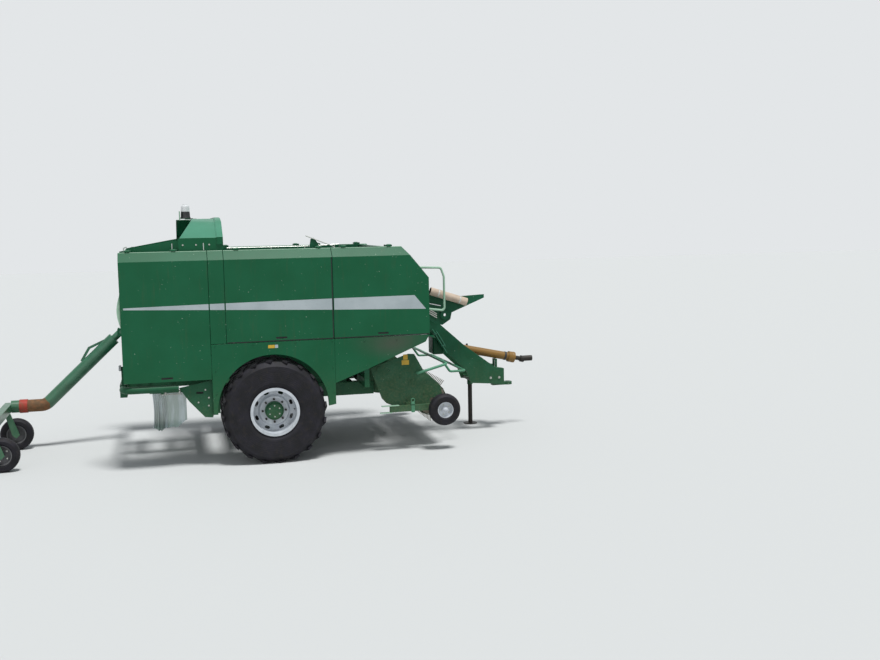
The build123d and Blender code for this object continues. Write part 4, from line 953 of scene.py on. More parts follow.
@dataclass(frozen=True)
class PanelTrim:
    """Latches, fixing bolts, blank labels, pale rear lips and top hems painted as highlights, and black
    strips painted as shade in the seams, all on the side panels.
    """

    skin: float = 0.004  # thickness of a panel's sheet
    latches: Places = (("rear_door", -1.242, 1.090), ("middle_door", 0.088, 1.505),
                       ("front_door", 1.318, 1.505))
    latch_plate: tuple[float, float] = (0.076, 0.020)  # half its length and half its height
    tab: float = 0.022  # half the pull tab's length
    fixings: Outline = ((-0.690, 1.440), (-0.690, 1.150), (-0.690, 0.880), (-0.250, 1.440), (0.250, 1.440),
                        (0.690, 1.440), (0.690, 1.120), (0.690, 0.820), (1.080, 1.420), (1.480, 1.420))
    # rear and front end of each painted seam shade strip, hem or label
    seam_shades: Places = (("middle_door", -0.543, 0.711), ("front_door", 0.723, 1.890))
    hems: Places = (("rear_door", -1.722, -0.740), ("fixed", -0.730, -0.558), ("middle_door", -0.548, 0.712),
                    ("front_door", 0.722, 1.583))
    arch_labels: Places = (("yellow", -0.075, 0.002), ("white", 0.006, 0.042))
    arch_label_z: tuple[float, float] = (1.386, 1.424)
    pickup_labels: tuple = ((1.586, 1.679, 1.069, 1.128), (1.606, 1.662, 1.134, 1.200))  # x and z ends
    hem_y: float = 1.130
    hem_z: float = 2.5455
    hem_r: float = 0.0045
    seam_shade_z: tuple[float, float] = (1.467, 1.476)
    upright_shade_span: tuple[float, float] = (1.470, 2.440)
    upright_shade_width: float = 0.010  # width of the shade strip painted at the middle door's front edge
    seam_shade_out: float = 0.0015
    label_out: float = 0.0006
    lip_x: float = -1.724
    lip_z: tuple[float, float] = (1.680, 2.077)
    lip_y: tuple[float, float] = (1.200, 1.206)
    lip_bulge: float = 0.040

    def latch(self, side: str, sign: int, door: str, x: float, z: float) -> None:
        """A black plate behind a latch slot, with its pull tab.

        Args:
            side: the side's name.
            sign: -1 on the right side, 1 on the left.
            door: the door that carries it.
            x: its middle.
            z: its middle's height.
        """
        back = SIDE_Y - self.skin
        wide, high = self.latch_plate
        plate = slab(x - wide, x + wide, z - high, z + high)
        tab = slab(x - self.tab, x + self.tab, z - 0.007, z + 0.003)
        build = Build(f"latch_{door}_{side}", f"{door}_{side}", BLACK_SEAL_AND_SHADE, "lamp_body")
        build.plate(plate, sign * (back - 0.004), sign * (back - 0.0002))
        build.stick(tab, sign, sign * back, 0.003).done()

    def lip(self, side: str, sign: int) -> None:
        """The guard lip that bulges from a rear door's rear edge, painted pale as a highlight.

        Args:
            side: the side's name.
            sign: -1 on the right side, 1 on the left.
        """
        x, (z0, z1) = self.lip_x, self.lip_z
        steps = 12
        bulge = [(x - self.lip_bulge * math.sin(math.pi * s / steps), z0 + (z1 - z0) * s / steps)
                 for s in range(steps + 1)]
        near, far = self.lip_y
        build = Build(f"rear_lip_{side}", f"rear_door_{side}", HIGHLIGHT_GREEN, "green_panel")
        build.plate([(x + 0.002, z1), (x + 0.002, z0)] + bulge, sign * near, sign * far).done()

    def labels(self, side: str, sign: int) -> None:
        """Blank labels: two low on the wheel arch, two beside the pick-up.

        Args:
            side: the side's name.
            sign: -1 on the right side, 1 on the left.
        """
        for (name, x0, x1), finish in zip(self.arch_labels, (YELLOW_VINYL, WHITE_VINYL)):
            build = Build(f"arch_label_{name}_{side}", "chassis", finish, "green_panel")
            build.stick(slab(x0, x1, *self.arch_label_z, 0.003), sign, sign * SIDE_Y, self.label_out).done()
        y = seat_beside("pickup_frame", sign, 1.632, 1.090).y
        build = Build(f"pickup_label_{side}", "pickup", YELLOW_VINYL, "green_panel")
        for ends in self.pickup_labels:
            build.stick(slab(*ends), sign, y, self.label_out)
        build.done()

    def build(self) -> None:
        """Fit both sides."""
        for side, sign in SIDES.items():
            for door, x, z in self.latches:
                self.latch(side, sign, door, x, z)
            self.lip(side, sign)
            self.labels(side, sign)
            bolts = Build(f"panel_bolts_{side}", "chassis", SKIRT_GREEN, "green_panel")
            bolts.bolts_beside("fixed_side_panels", sign, self.fixings, 15, 6).done()
            for door, x0, x1 in self.hems:
                body = "chassis" if door == "fixed" else f"{door}_{side}"
                # painted highlight: a pale rod along the top fold stands in for the bright line of light on
                # it
                hem = Build(f"painted_highlight_hem_{door}_{side}", body, HIGHLIGHT_GREEN, "green_panel")
                hem.bar([(x0, self.hem_z), (x1, self.hem_z)], sign * self.hem_y, self.hem_r).done()
            # painted shade: black strips along the doors' lower edges and the middle door's front edge stand
            # in for the shade in the seams
            for door, x0, x1 in self.seam_shades:
                edge = Build(f"painted_seam_shade_{door}_{side}", f"{door}_{side}", BLACK_SEAL_AND_SHADE, "tyre_rubber")
                edge.stick(slab(x0, x1, *self.seam_shade_z, 0.002), sign, sign * SIDE_Y, self.seam_shade_out)
                if door == "middle_door":
                    upright = slab(x1 - self.upright_shade_width, x1, *self.upright_shade_span, 0.002)
                    edge.stick(upright, sign, sign * SIDE_Y, self.seam_shade_out)
                edge.done()


@dataclass(frozen=True)
class TopEdge:
    """A rod on posts, a bracket with its stay, and hooks, all of which show above the right top edge."""

    y: float = -1.040
    ledge: float = 2.546  # just in the top of the top rail
    # each line by its (x, z) points
    rail: Outline = ((-0.500, 2.574), (0.429, 2.574), (0.830, 2.588))
    rail_posts: Outline = ((-0.420, 2.572), (0.020, 2.572), (0.420, 2.572), (0.780, 2.584))
    bracket: Outline = ((0.470, ledge), (0.590, ledge), (0.575, 2.610), (0.530, 2.672), (0.490, 2.660))
    stay: Outline = ((0.430, 2.700), (0.775, 2.560), (0.775, ledge))
    hook: Outline = ((-1.660, ledge), (-1.660, 2.604), (-1.625, 2.612))
    lone_posts: Outline = ((-1.122, 2.640),)
    hood_post: Outline = ((-0.766, 2.556), (-0.766, 2.640))
    rod_r: float = 0.006
    post_r: float = 0.005
    hook_r: float = 0.008

    def posts(self, build: Build, places: Outline) -> None:
        """Thin uprights on the top rail, from (x, top) pairs."""
        for x, top in places:
            build.bar([(x, self.ledge), (x, top)], self.y, self.post_r)

    def build(self) -> None:
        """Fit the right side."""
        rail = Build("top_rail_rod", "chassis", PIPE, "roller_steel")
        rail.bar(self.rail, self.y, self.rod_r)
        self.posts(rail, self.rail_posts)
        rail.done()
        bracket = Build("top_bracket", "chassis", FRAME_GREEN, "green_frame")
        bracket.plate(self.bracket, self.y - 0.020, self.y - 0.012).done(1.0)
        stay = Build("top_stay_rod", "chassis", PIPE, "roller_steel")
        stay.bar(self.stay, self.y - 0.026, self.rod_r).done()
        hooks = Build("top_hooks", "chassis", WHITE_ROD, "green_panel")
        hooks.bar(self.hook, self.y, self.hook_r, 0.012)
        self.posts(hooks, self.lone_posts)
        hood = seat_beside("ring_hood", -1, self.hood_post[0][0], 2.600).y
        hooks.bar(self.hood_post, hood - 0.002, self.post_r).done()


@dataclass(frozen=True)
class Hood:
    """Beacon on the ring hood, the hood's left sheet and bolts, and the wedge guards' ends under it."""

    x: float = -0.935
    roof: float = 2.933
    lens_low: float = 3.021  # from here up the CAD beacon is lens
    base: Outline = ((0.005, 0.0), (0.005, 0.062), (0.018, 0.062), (0.026, 0.057), (0.080, 0.055),
                     (0.089, 0.050), (0.089, 0.0))  # height over the roof, radius
    lens_z: tuple[float, float, float] = (0.089, 0.151, 0.179)  # its foot, shoulder and top over the roof
    lens_r: tuple[float, float] = (0.055, 0.052)  # at its foot and shoulder
    facet: Outline = ((1.083, 2.690), (1.083, 2.702), (0.819, 2.880), (0.560, 2.926))  # y, z
    facet_rear: float = -1.048
    facet_front: float = -1.041  # at its foot, from where it rakes forward
    rake: float = 0.7296  # forward for each metre up
    sheet: float = 0.006
    lit_low: float = 2.705
    lit_rear: float = -1.120
    lit_up: float = 0.3  # least upward slope of a face that is painted light
    highlight_y: float = -0.80  # the front fittings are painted pale as a highlight from here to the right
    guard_end: Outline = ((-1.116, 2.498), (-1.020, 2.498), (-1.020, 2.680), (-1.116, 2.664))
    guard_y: tuple[float, float] = (1.0097, 1.0197)
    bolts: Outline = ((-1.000, 2.620), (-0.850, 2.620), (-0.700, 2.620))

    def left_sheet(self) -> None:
        """The left facet of the hood, carried on to the rear past the raked cut of the right one."""
        build = Build("hood_left_sheet", "chassis", PANEL_GREEN, "green_panel")
        foot = self.facet[0][1]
        edges = []
        for inset in (0.0, self.sheet):
            rear = [(self.facet_rear, y - inset, z - inset) for y, z in self.facet]
            rake = [(self.facet_front + (z - foot) * self.rake, y - inset, z - inset) for y, z in self.facet]
            edges += [[build.mesh.verts.new(point) for point in line] for line in (rear, rake)]
        rear, rake, rear_in, rake_in = edges
        for at in range(len(self.facet) - 1):
            for a, b in ((rear, rake), (rake_in, rear_in), (rear_in, rear), (rake, rake_in)):
                build.mesh.faces.new((a[at], b[at], b[at + 1], a[at + 1]))
        build.mesh.faces.new((rear[0], rear_in[0], rake_in[0], rake[0]))
        build.mesh.faces.new((rear[-1], rake[-1], rake_in[-1], rear_in[-1]))
        bmesh.ops.recalc_face_normals(build.mesh, faces=list(build.mesh.faces))
        build.done()

    def beacon(self) -> None:
        """The beacon's plate, base, lens and the low shield behind it."""
        x, roof = self.x, self.roof
        repaint("lamps", WHITE_LENS, lambda at: at.z > self.lens_low)
        plate = Build("beacon_plate", "chassis", FRAME_GREEN, "green_frame")
        plate.plate(slab(x - 0.068, x + 0.090, -0.066, 0.066, 0.01), roof, roof + 0.005, Axis.Z).done(1.0)
        base = Build("beacon_base", "chassis", BLACK_PLASTIC_AND_SHADE, "lamp_body")
        base.lathe(self.base, (x, 0, roof), (0, 0, 1), closed=False).done(1.0)
        lens = Build("beacon_lens", "chassis", WHITE_LENS, "lamp_body")
        foot, shoulder, top = self.lens_z
        wide, narrow = self.lens_r
        rise = [(foot + (shoulder - foot) * s, wide + (narrow - wide) * s) for s in (0, 0.5, 1)]
        turns = [math.radians(step) for step in range(15, 90, 15)]
        crown = [(shoulder + (top - shoulder) * math.sin(a), narrow * math.cos(a)) for a in turns]
        lens.lathe([(foot, 0.0)] + rise + crown + [(top, 0.0)], (x, 0, roof), (0, 0, 1), closed=False).done()
        # painted highlight: the low shield is painted pale
        shield = Build("beacon_shield", "chassis", HIGHLIGHT_GREEN, "green_frame")
        outline = [(x - 0.080, -0.062), (x - 0.066, -0.062), (x - 0.066, 0.010), (x - 0.080, 0.010)]
        shield.plate(outline, roof - 0.020, roof + 0.094, Axis.Z).done(1.0)

    def build(self) -> None:
        """Build the beacon and the hood's small parts, paint sky light on the hood's upward faces and a
        highlight on the front fittings' right side.
        """
        self.beacon()
        self.left_sheet()
        # painted light: the hood's faces that look up get the paler green as sky light
        repaint("ring_hood", SKY_LIT_GREEN, lambda at: at.z > self.lit_low and at.x > self.lit_rear,
                self.lit_up)
        # painted highlight: the right side of the front fittings, the handrail among them, in pale green
        repaint("front_fittings", HIGHLIGHT_GREEN, lambda at: at.y < self.highlight_y)
        for side, sign in SIDES.items():
            guard = Build(f"wedge_guard_end_{side}", "chassis", PANEL_GREEN, "green_panel")
            near, far = self.guard_y
            guard.plate(self.guard_end, sign * near, sign * far).done()
            bolts = Build(f"hood_bolts_{side}", "chassis", BOLT, "yoke_steel")
            bolts.bolts_beside("ring_hood", sign, self.bolts, 15, 7).done()


@dataclass(frozen=True)
class WheelTrim:
    """Caps, nuts and valves of the road, gauge and tip wheels, and the paint of their hubs and discs."""

    hub_r: float = 0.116
    hub_y: float = 1.131  # faces of the hub lie outside this
    nuts_r: float = 0.165
    nuts_y: float = 1.1295  # faces of the wheel nuts lie outside this
    screws_r: float = 0.066
    valve_r: float = 0.245
    cap: Outline = ((-0.002, 0.0), (-0.002, 0.030), (0.010, 0.028), (0.017, 0.018), (0.019, 0.0))
    bolts_share: float = 0.62  # where a small wheel's bolts sit, as a share of its disc's radius
    gauge_disc_r: float = 0.100
    tip_disc_r: float = 0.120

    @staticmethod
    def ring(build: Build, centre: Point, sign: int, radius: float, count: int, across_mm: float) -> None:
        """Bolts round a wheel's middle.

        Args:
            build: the build that gets them.
            centre: the middle of their circle.
            sign: -1 on the right side, 1 on the left.
            radius: the circle's radius.
            count: how many bolts.
            across_mm: a head's width across its corners.
        """
        for step in range(count):
            turn = math.tau * (step + 0.5) / count
            at = Vector(centre) + Vector((math.cos(turn), 0, math.sin(turn))) * radius
            build.bolt(at, (0, sign, 0), across_mm, across_mm * 0.4)

    def road(self, side: str, sign: int) -> None:
        """Green hub, dark nuts, cap screws and valve of a road wheel.

        Args:
            side: the side's name.
            sign: -1 on the right side, 1 on the left.
        """
        x, z, rim = AXLE_X, AXLE_Z, f"rim_{side}"
        repaint(rim, FRAME_GREEN, lambda at: off_axis(at, x, z) < self.hub_r and abs(at.y) > self.hub_y)
        repaint(rim, DARK_STEEL, lambda at: self.hub_r < off_axis(at, x, z) < self.nuts_r
                and abs(at.y) > self.nuts_y)
        screws = Build(f"hub_screws_{side}", f"wheel_{side}", BOLT, "yoke_steel")
        face = seat_beside(rim, sign, x + 0.060, z).y
        self.ring(screws, (x, face, z), sign, self.screws_r, 6, 13)
        screws.done()
        valve = Build(f"valve_{side}", f"wheel_{side}", BLACK_PLASTIC_AND_SHADE, "tyre_rubber")
        disc = seat_beside(rim, sign, x + self.valve_r, z).y
        ends = [(x + self.valve_r, disc + sign * out, z) for out in (-0.001, 0.045)]
        valve.tube(ends, 0.006).done()

    def small(self, name: str, sign: int, centre: tuple[float, float], disc_r: float, finish: Finish) -> None:
        """Painted disc, cap and bolts of a small wheel.

        Args:
            name: the wheel's CAD node, which has its body's name.
            sign: -1 on the right side, 1 on the left.
            centre: x and z of the wheel's middle.
            disc_r: the disc's radius.
            finish: its paint.
        """
        x, z = centre
        repaint(name, finish, lambda at: off_axis(at, x, z) < disc_r)
        reach = disc_r * self.bolts_share
        disc = seat_beside(name, sign, x + reach, z).y
        bolts = Build(f"{name}_bolts", name, BOLT, "yoke_steel")
        self.ring(bolts, (x, disc, z), sign, reach, 5, 15)
        bolts.done()
        hub = seat_beside(name, sign, x, z).y
        cap = Build(f"{name}_cap", name, finish, "white_rim")
        cap.lathe(self.cap, (x, hub, z), (0, sign, 0), 32, closed=False).done()

    def build(self) -> None:
        """Fit every wheel."""
        for side, sign in SIDES.items():
            self.road(side, sign)
            self.small(f"gauge_wheel_{side}", sign, GAUGE_WHEEL, self.gauge_disc_r, RIM_GREY)
            self.small(f"tip_wheel_{side}", sign, TIP_WHEEL, self.tip_disc_r, DARK_RIM)


@dataclass(frozen=True)
class EndTip:
    """Rust on the elbow of the end-tip tube and red paint on its sleeve."""

    axis: tuple[float, float] = (0.690, 0.560)  # y and z of the level run
    elbow: tuple[float, float] = (-3.012, -2.735)  # where the elbow starts and ends along x
    elbow_top: float = 0.68
    sleeve: tuple[float, float] = (-3.115, -3.005)
    tube_r: float = 0.083  # faces of the sleeve lie outside this

    def build(self) -> None:
        """Repaint the elbow and the sleeve."""
        y, z = self.axis
        repaint("tip_tube", RUSTY_ELBOW,
                lambda at: self.elbow[0] < at.x < self.elbow[1] and at.z < self.elbow_top)
        repaint("tip_tube", RED_SLEEVE, lambda at: self.sleeve[0] < at.x < self.sleeve[1]
                and math.hypot(at.y - y, at.z - z) > self.tube_r)


@dataclass(frozen=True)
class RearLamps:
    """Grey housings of the two rear lamps, and their lenses."""

    housing_top: float = 1.3  # the rear lamps lie below this, the others above
    lamp_y: float = 1.000
    lens_z: tuple[float, float] = (1.185, 1.235)
    # inner and outer edge of each lens
    lenses: Places = (("red", 0.964, 1.006), ("clear", 1.008, 1.036))

    def build(self) -> None:
        """Fit a red and a clear stretch on each lamp."""
        repaint("lamps", GREY_PLASTIC, lambda at: at.z < self.housing_top)
        for side, sign in SIDES.items():
            x = seat("lamps", (-2.5, sign * self.lamp_y, sum(self.lens_z) / 2), (1, 0, 0)).x
            for (name, y0, y1), finish in zip(self.lenses, (RED_LENS, CLEAR_LENS)):
                right, left = sorted((sign * y0, sign * y1))
                build = Build(f"rear_lens_{name}_{side}", "chassis", finish, "lamp_body")
                build.plate(slab(right, left, *self.lens_z), x - 0.008, x + 0.001, Axis.X).done(1.5)


def ease(value: float, low: float, high: float) -> float:
    """A smooth step from 0 at low to 1 at high."""
    share = min(max((value - low) / (high - low), 0), 1)
    return share * share * (3 - 2 * share)


@dataclass(frozen=True)
class FilmTail:
    """The loose end of wrapping film: bunched on the rear half of its clamp bar, smooth on the front half."""

    rear_x: float = -1.420
    front_x: float = -1.035
    y: float = -1.050
    top: float = 0.900
    length: float = 0.420
    pleats: int = 12
    bunched: float = 0.62  # share of the film's width in the pleats
    bunch_pull: float = 0.68  # how much closer the bunched film lies on its bar than the film as a whole
    front_pull: float = 1.522  # how much wider the smooth film lies
    pleat_top: float = 0.005  # depth of a pleat at the clamp
    pleat_gain: float = 0.016  # how much deeper it is at the hem
    pleat_odds: float = 0.006  # how much pleats differ in depth
    lean: float = 0.012  # how far the bunch sways along x on its way down
    lean_odds: float = 0.010
    belly: float = 0.010
    hem_drop: float = 0.034  # how much longer the bunch hangs in its middle
    hem_rise: float = 0.075  # how much shorter the front corner hangs
    hem_odds: float = 0.008
    rows: int = 30
    columns: int = 200
    clips: tuple[float, ...] = (-1.300, -1.270, -1.110)
    clip_z: tuple[float, float] = (0.870, 0.922)
    clip_lip: float = 0.008  # height of the lip over the bar
    clip_rod: Outline = ((-1.325, 0.884), (-1.085, 0.872))

    def point(self, across: float, down: float, wild: list[float]) -> Vector:
        """A point of the hanging sheet.

        Args:
            across: share of its width, 0 at the rear.
            down: share of its length, 0 at the clamp.
            wild: a random swing for each pleat.

        Returns:
            The point in the part's frame.
        """
        pleated = 1 - ease(across, self.bunched - 0.14, self.bunched + 0.08)
        fold = across * self.pleats
        swing = wild[int(min(fold, self.pleats - 1))]
        share = across * self.bunch_pull
        if across >= self.bunched:
            share = self.bunched * self.bunch_pull + (across - self.bunched) * self.front_pull
        x = self.rear_x + (self.front_x - self.rear_x) * share
        x += (self.lean * math.sin(3.2 * down) + self.lean_odds * swing * down) * pleated
        depth = (self.pleat_top + (self.pleat_gain + self.pleat_odds * swing) * down) * pleated
        y = self.y - depth * math.sin(math.tau * fold)
        y -= self.belly * math.sin(math.pi * down) * math.sin(5 * across)
        hem = self.hem_drop * math.exp(-((across - 0.30) / 0.16) ** 2)
        hem += self.hem_odds * swing - self.hem_rise * ease(across, 0.80, 1.0)
        return Vector((x, y, self.top - (self.length + hem) * down))

    def clamp(self) -> None:
        """Three clips with a rod that press the film on its bar."""
        back, front = self.y - 0.018, self.y - 0.012
        low, high = self.clip_z
        clips = Build("film_clips", "chassis", BOLT, "yoke_steel")
        for x in self.clips:
            clips.plate(slab(x - 0.010, x + 0.010, low, high), back, front)
            clips.plate(slab(x - 0.010, x + 0.010, high - self.clip_lip, high, 0.002), back, self.y + 0.014)
        clips.bar(self.clip_rod, self.y - 0.022, 0.005).done(0.8)

    def build(self) -> None:
        rng = random.Random(7)
        wild = [rng.uniform(-1, 1) for _ in range(self.pleats)]
        build = Build("gathered_film_tail", "chassis", FILM, "wrap_film")
        grid = [[self.point(column / self.columns, row / self.rows, wild)
                 for column in range(self.columns + 1)] for row in range(self.rows + 1)]
        verts = [[build.mesh.verts.new(point) for point in line] for line in grid]
        for upper, lower in zip(verts, verts[1:]):
            for at in range(self.columns):
                build.mesh.faces.new((upper[at], upper[at + 1], lower[at + 1], lower[at]))
        tail = build.done(smooth=False)
        tail.data.polygons.foreach_set("use_smooth", [True] * len(tail.data.polygons))
        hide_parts("film_tail")
        self.clamp()


@dataclass(frozen=True)
class FilmGear:
    """Cores of the film rolls and the bright stretch rollers of the dispensers."""

    roll: tuple[float, float] = (1.040, 0.085)  # y and height over the ring's middle
    core_r: float = 0.045
    rollers: Outline = ((1.000, -0.070), (1.082, -0.095))
    roller_r: float = 0.037

    @staticmethod
    def near(at: Vector, place: tuple[float, float], reach: float) -> bool:
        """Whether a point lies within reach of an axis along x, on either side of the ring."""
        y, up = place
        return any(math.hypot(at.y - s * y, at.z - RING_Z - s * up) < reach for s in (1, -1))

    def build(self) -> None:
        """Repaint them."""
        repaint("film_rolls", CARD, lambda at: self.near(at, self.roll, self.core_r))
        for place in self.rollers:
            repaint("film_dispensers", PIPE, lambda at: self.near(at, place, self.roller_r))


@dataclass(frozen=True)
class FrontTrim:
    """Pipes and clamps on the front bracket and drawbar, bolts in front, shaft guard ends, jack grip."""

    hose_rear: Point = (2.099, -0.500, 1.946)
    hose_front: Point = (2.590, -0.500, 1.785)
    bore_r: float = 0.046
    band: Outline = ((-0.009, 0.0518), (-0.009, 0.0540), (0.009, 0.0540), (0.009, 0.0518))
    bent_pipe: Outline = ((2.050, 1.712), (2.110, 1.694), (2.195, 1.640))  # x, z
    pipe_pitch: float = 0.026  # from one bent pipe down to the next
    pipe_r: float = 0.008
    rod: Outline = ((2.010, 1.800), (2.250, 1.745))
    drawbar_lines: tuple[Outline, ...] = (((2.378, 1.090), (2.180, 1.420)), ((2.350, 1.200), (2.236, 1.390)))
    drawbar_clips: Outline = ((2.226, 1.360), (2.325, 1.195))
    cover_z: float = 1.180
    cover_r: float = 0.086  # circle of the gearbox cover's bolts
    pickup_bolts: Outline = ((1.420, 1.000), (1.560, 0.900), (1.700, 0.860), (1.640, 0.640), (1.860, 0.700))
    guard_start: Point = (2.405, 0, 1.166)
    guard_along: Point = (1, 0, -0.217)
    guard_r: float = 0.054
    # how far along the guard each cone and collar sits; a cone's ribs run toward the guard's middle
    cones: tuple[tuple[float, int], ...] = ((0.075, 1), (1.015, -1))
    collars: tuple[float, ...] = (0.200, 0.890)
    rib_pitch: float = 0.018
    rib_r: float = 0.0745  # of a cone's widest rib
    taper: float = 0.0035  # how much a cone narrows over one pitch
    grip: Point = (2.860, 0.435, 1.024)

    def hose_clamps(self) -> None:
        """Two bands round the cream tube, and its bore painted black as shade."""
        rear, front = Vector(self.hose_rear), Vector(self.hose_front)
        along = (front - rear).normalized()
        # painted shade: the inside of the tube is painted black
        repaint("hose_tube", BLACK_PLASTIC_AND_SHADE,
                lambda at: ((at - rear) - along * (at - rear).dot(along)).length < self.bore_r)
        bands = Build("hose_tube_bands", "chassis", PIPE, "roller_steel")
        for share in (0.22, 0.80):
            bands.lathe(self.band, rear.lerp(front, share), along)
        bands.done(0.5)

    def pipes(self) -> None:
        """Three bent pipes and a chrome rod on the bracket's face."""
        y = seat("front_fittings", (2.130, -0.600, 1.640), (0, 1, 0)).y - 0.0075
        pipes = Build("bracket_pipes", "chassis", PIPE, "roller_steel")
        for step in range(3):
            line = [(x, z - self.pipe_pitch * step) for x, z in self.bent_pipe]
            pipes.bar(line, y, self.pipe_r, 0.02)
        pipes.done()
        rod = Build("bracket_rod", "chassis", CHROME, "roller_steel")
        rod.bar(self.rod, y, self.pipe_r).done()

    def drawbar_pipes(self) -> None:
        """Two pipes clipped to the right drawbar plate, below the bracket."""
        y = seat_beside("drawbar", -1, 2.300, 1.250).y
        # painted highlight: the pipes take the paler green that stands in for light on them
        pipes = Build("drawbar_pipes", "chassis", SKY_LIT_GREEN, "green_frame")
        for line in self.drawbar_lines:
            pipes.bar(line, y - 0.010, 0.0065)
        for x, z in self.drawbar_clips:
            pipes.plate(slab(x - 0.026, x + 0.034, z - 0.012, z + 0.012), y - 0.004, y)
            pipes.bolt((x + 0.004, y - 0.004, z), (0, -1, 0), 15, 16)
        pipes.done()

    def gearbox(self) -> None:
        """Bolts round the gearbox's front cover."""
        bolts = Build("gearbox_bolts", "chassis", BOLT, "yoke_steel")
        for step in range(6):
            turn = math.radians(30 + 60 * step)
            y, z = self.cover_r * math.cos(turn), self.cover_z + self.cover_r * math.sin(turn)
            bolts.bolt(seat("main_gearbox", (3.0, y, z), (-1, 0, 0)), (1, 0, 0), 18, 9)
        bolts.done()

    def pickup(self) -> None:
        """Bolts on the pick-up's side plates."""
        for side, sign in SIDES.items():
            bolts = Build(f"pickup_bolts_{side}", "pickup", DUSTY_GREEN, "green_frame")
            bolts.bolts_beside("pickup_frame", sign, self.pickup_bolts, 19, 9).done()

    def guard_ends(self) -> None:
        """Ribbed cone ends and bearing collars of the drive shaft's guard."""
        start, along = Vector(self.guard_start), Vector(self.guard_along).normalized()
        inner = self.guard_r
        ends = Build("guard_cones", "chassis", GUARD, "ochre_guard")
        for far, turn in self.cones:
            ribs = [(turn * self.rib_pitch * step, self.rib_r - self.taper * (step - step % 2))
                    for step in range(6)]
            ends.lathe([(ribs[0][0], inner)] + ribs + [(ribs[-1][0], inner)], start + along * far, along)
        ends.done(0.5)
        collars = Build("guard_collars", "chassis", BLACK_PLASTIC_AND_SHADE, "lamp_body")
        for far in self.collars:
            collars.lathe([(-0.014, inner), (-0.014, 0.059), (0.014, 0.059), (0.014, inner)],
                          start + along * far, along)
        collars.done(0.5)

    def jack_grip(self) -> None:
        """The turned grip of the jack's crank."""
        grip = Build("jack_grip", "chassis", BLACK_PLASTIC_AND_SHADE, "lamp_body")
        ribs = [(0.010 + 0.008 * step, 0.0145 + (0.001 if step % 2 else 0)) for step in range(11)]
        grip.lathe([(0.010, 0.0)] + ribs + [(0.096, 0.010), (0.098, 0.0)], self.grip, (0, 0, 1), 24,
                   closed=False).done()

    def build(self) -> None:
        """Fit everything in front of the chamber."""
        self.hose_clamps()
        self.pipes()
        self.drawbar_pipes()
        self.gearbox()
        self.pickup()
        self.guard_ends()
        self.jack_grip()


@dataclass(frozen=True)
class Gussets:
    """A dark sheet painted as shade behind the rear gussets' slots, their bolts, bolts of the drawbar, and
    the gauge arms' clamps.
    """

    slot_shade: tuple[float, ...] = (-0.935, -0.825, 0.868, 0.917)  # x and z ends of the dark sheet painted as shade behind the slot
    bolts: Outline = ((-0.815, 0.925), (-0.779, 0.830), (-0.783, 0.735), (-0.900, 0.780))
    drawbar_bolts: Outline = ((2.990, 0.720), (3.110, 0.720))
    clamp_x: tuple[float, float] = (1.672, 1.716)
    clamp_z: tuple[float, float] = (0.484, 0.612)
    clamp_y: float = 1.127  # outer face of the clamp
    clamp_sheet: float = 0.0075
    clamp_inner_y: float = 1.062
    clamp_top_z: tuple[float, float] = (0.5735, 0.584)
    eye: Point = (1.694, 1.121, 0.636)  # middle of the lifting ring, on the left side
    eye_r: float = 0.023
    wire_r: float = 0.005
    # rear and front end and the underside of each guide strip
    strips: tuple[Point, ...] = ((1.300, 1.520, 0.5735), (1.280, 1.430, 0.4905))
    strip_y: tuple[float, float] = (1.072, 1.124)
    strip: float = 0.008

    @staticmethod
    def flat(build: Build, sign: int, x: tuple[float, float], y: tuple[float, float],
             z: tuple[float, float]) -> None:
        """A level plate between two x, two y and two z, mirrored to its side."""
        near, far = sign * y[0], sign * y[1]
        build.plate([(x[0], near), (x[1], near), (x[1], far), (x[0], far)], *z, Axis.Z)

    def gauge_clamp(self, side: str, sign: int) -> None:
        """Clamp with its lifting ring, and the two guide strips at the arm's rear end, painted pale as
        highlights.

        Args:
            side: the side's name.
            sign: -1 on the right side, 1 on the left.
        """
        clamp = Build(f"gauge_clamp_{side}", "pickup", GUARD_GREEN, "green_frame")
        inner = self.clamp_y - self.clamp_sheet
        clamp.plate(slab(*self.clamp_x, *self.clamp_z, 0.003), sign * inner, sign * self.clamp_y)
        self.flat(clamp, sign, self.clamp_x, (self.clamp_inner_y, self.clamp_y), self.clamp_top_z)
        wire = [(self.wire_r * math.cos(a), self.eye_r + self.wire_r * math.sin(a))
                for a in (math.tau * s / 10 for s in range(10))]
        x, y, z = self.eye
        clamp.lathe(wire, (x, sign * y, z), (0, 1, 0), 24).done(0.8)
        strips = Build(f"gauge_strips_{side}", "pickup", HIGHLIGHT_GREEN, "green_frame")
        for x0, x1, z in self.strips:
            self.flat(strips, sign, (x0, x1), self.strip_y, (z, z + self.strip))
        strips.done(0.8)

    def build(self) -> None:
        """Fit both sides."""
        for side, sign in SIDES.items():
            inner = seat("rear_side_guards", (-0.880, 0, 0.940), (0, sign, 0)).y
            # painted shade: a black sheet fills the slot where only shade lies
            back = Build(f"painted_slot_shade_{side}", "chassis", BLACK_SEAL_AND_SHADE, "tyre_rubber")
            back.plate(slab(*self.slot_shade), inner - sign * 0.004, inner).done()
            bolts = Build(f"gusset_bolts_{side}", "chassis", BOLT, "yoke_steel")
            bolts.bolts_beside("rear_side_guards", sign, self.bolts, 15, 7)
            bolts.bolts_beside("drawbar", sign, self.drawbar_bolts, 26, 12).done()
            self.gauge_clamp(side, sign)


PARTS = (Gussets(), SideStripe(), PanelTrim(), TopEdge(), Hood(), WheelTrim(), EndTip(), RearLamps(),
         FilmTail(), FilmGear(), FrontTrim())


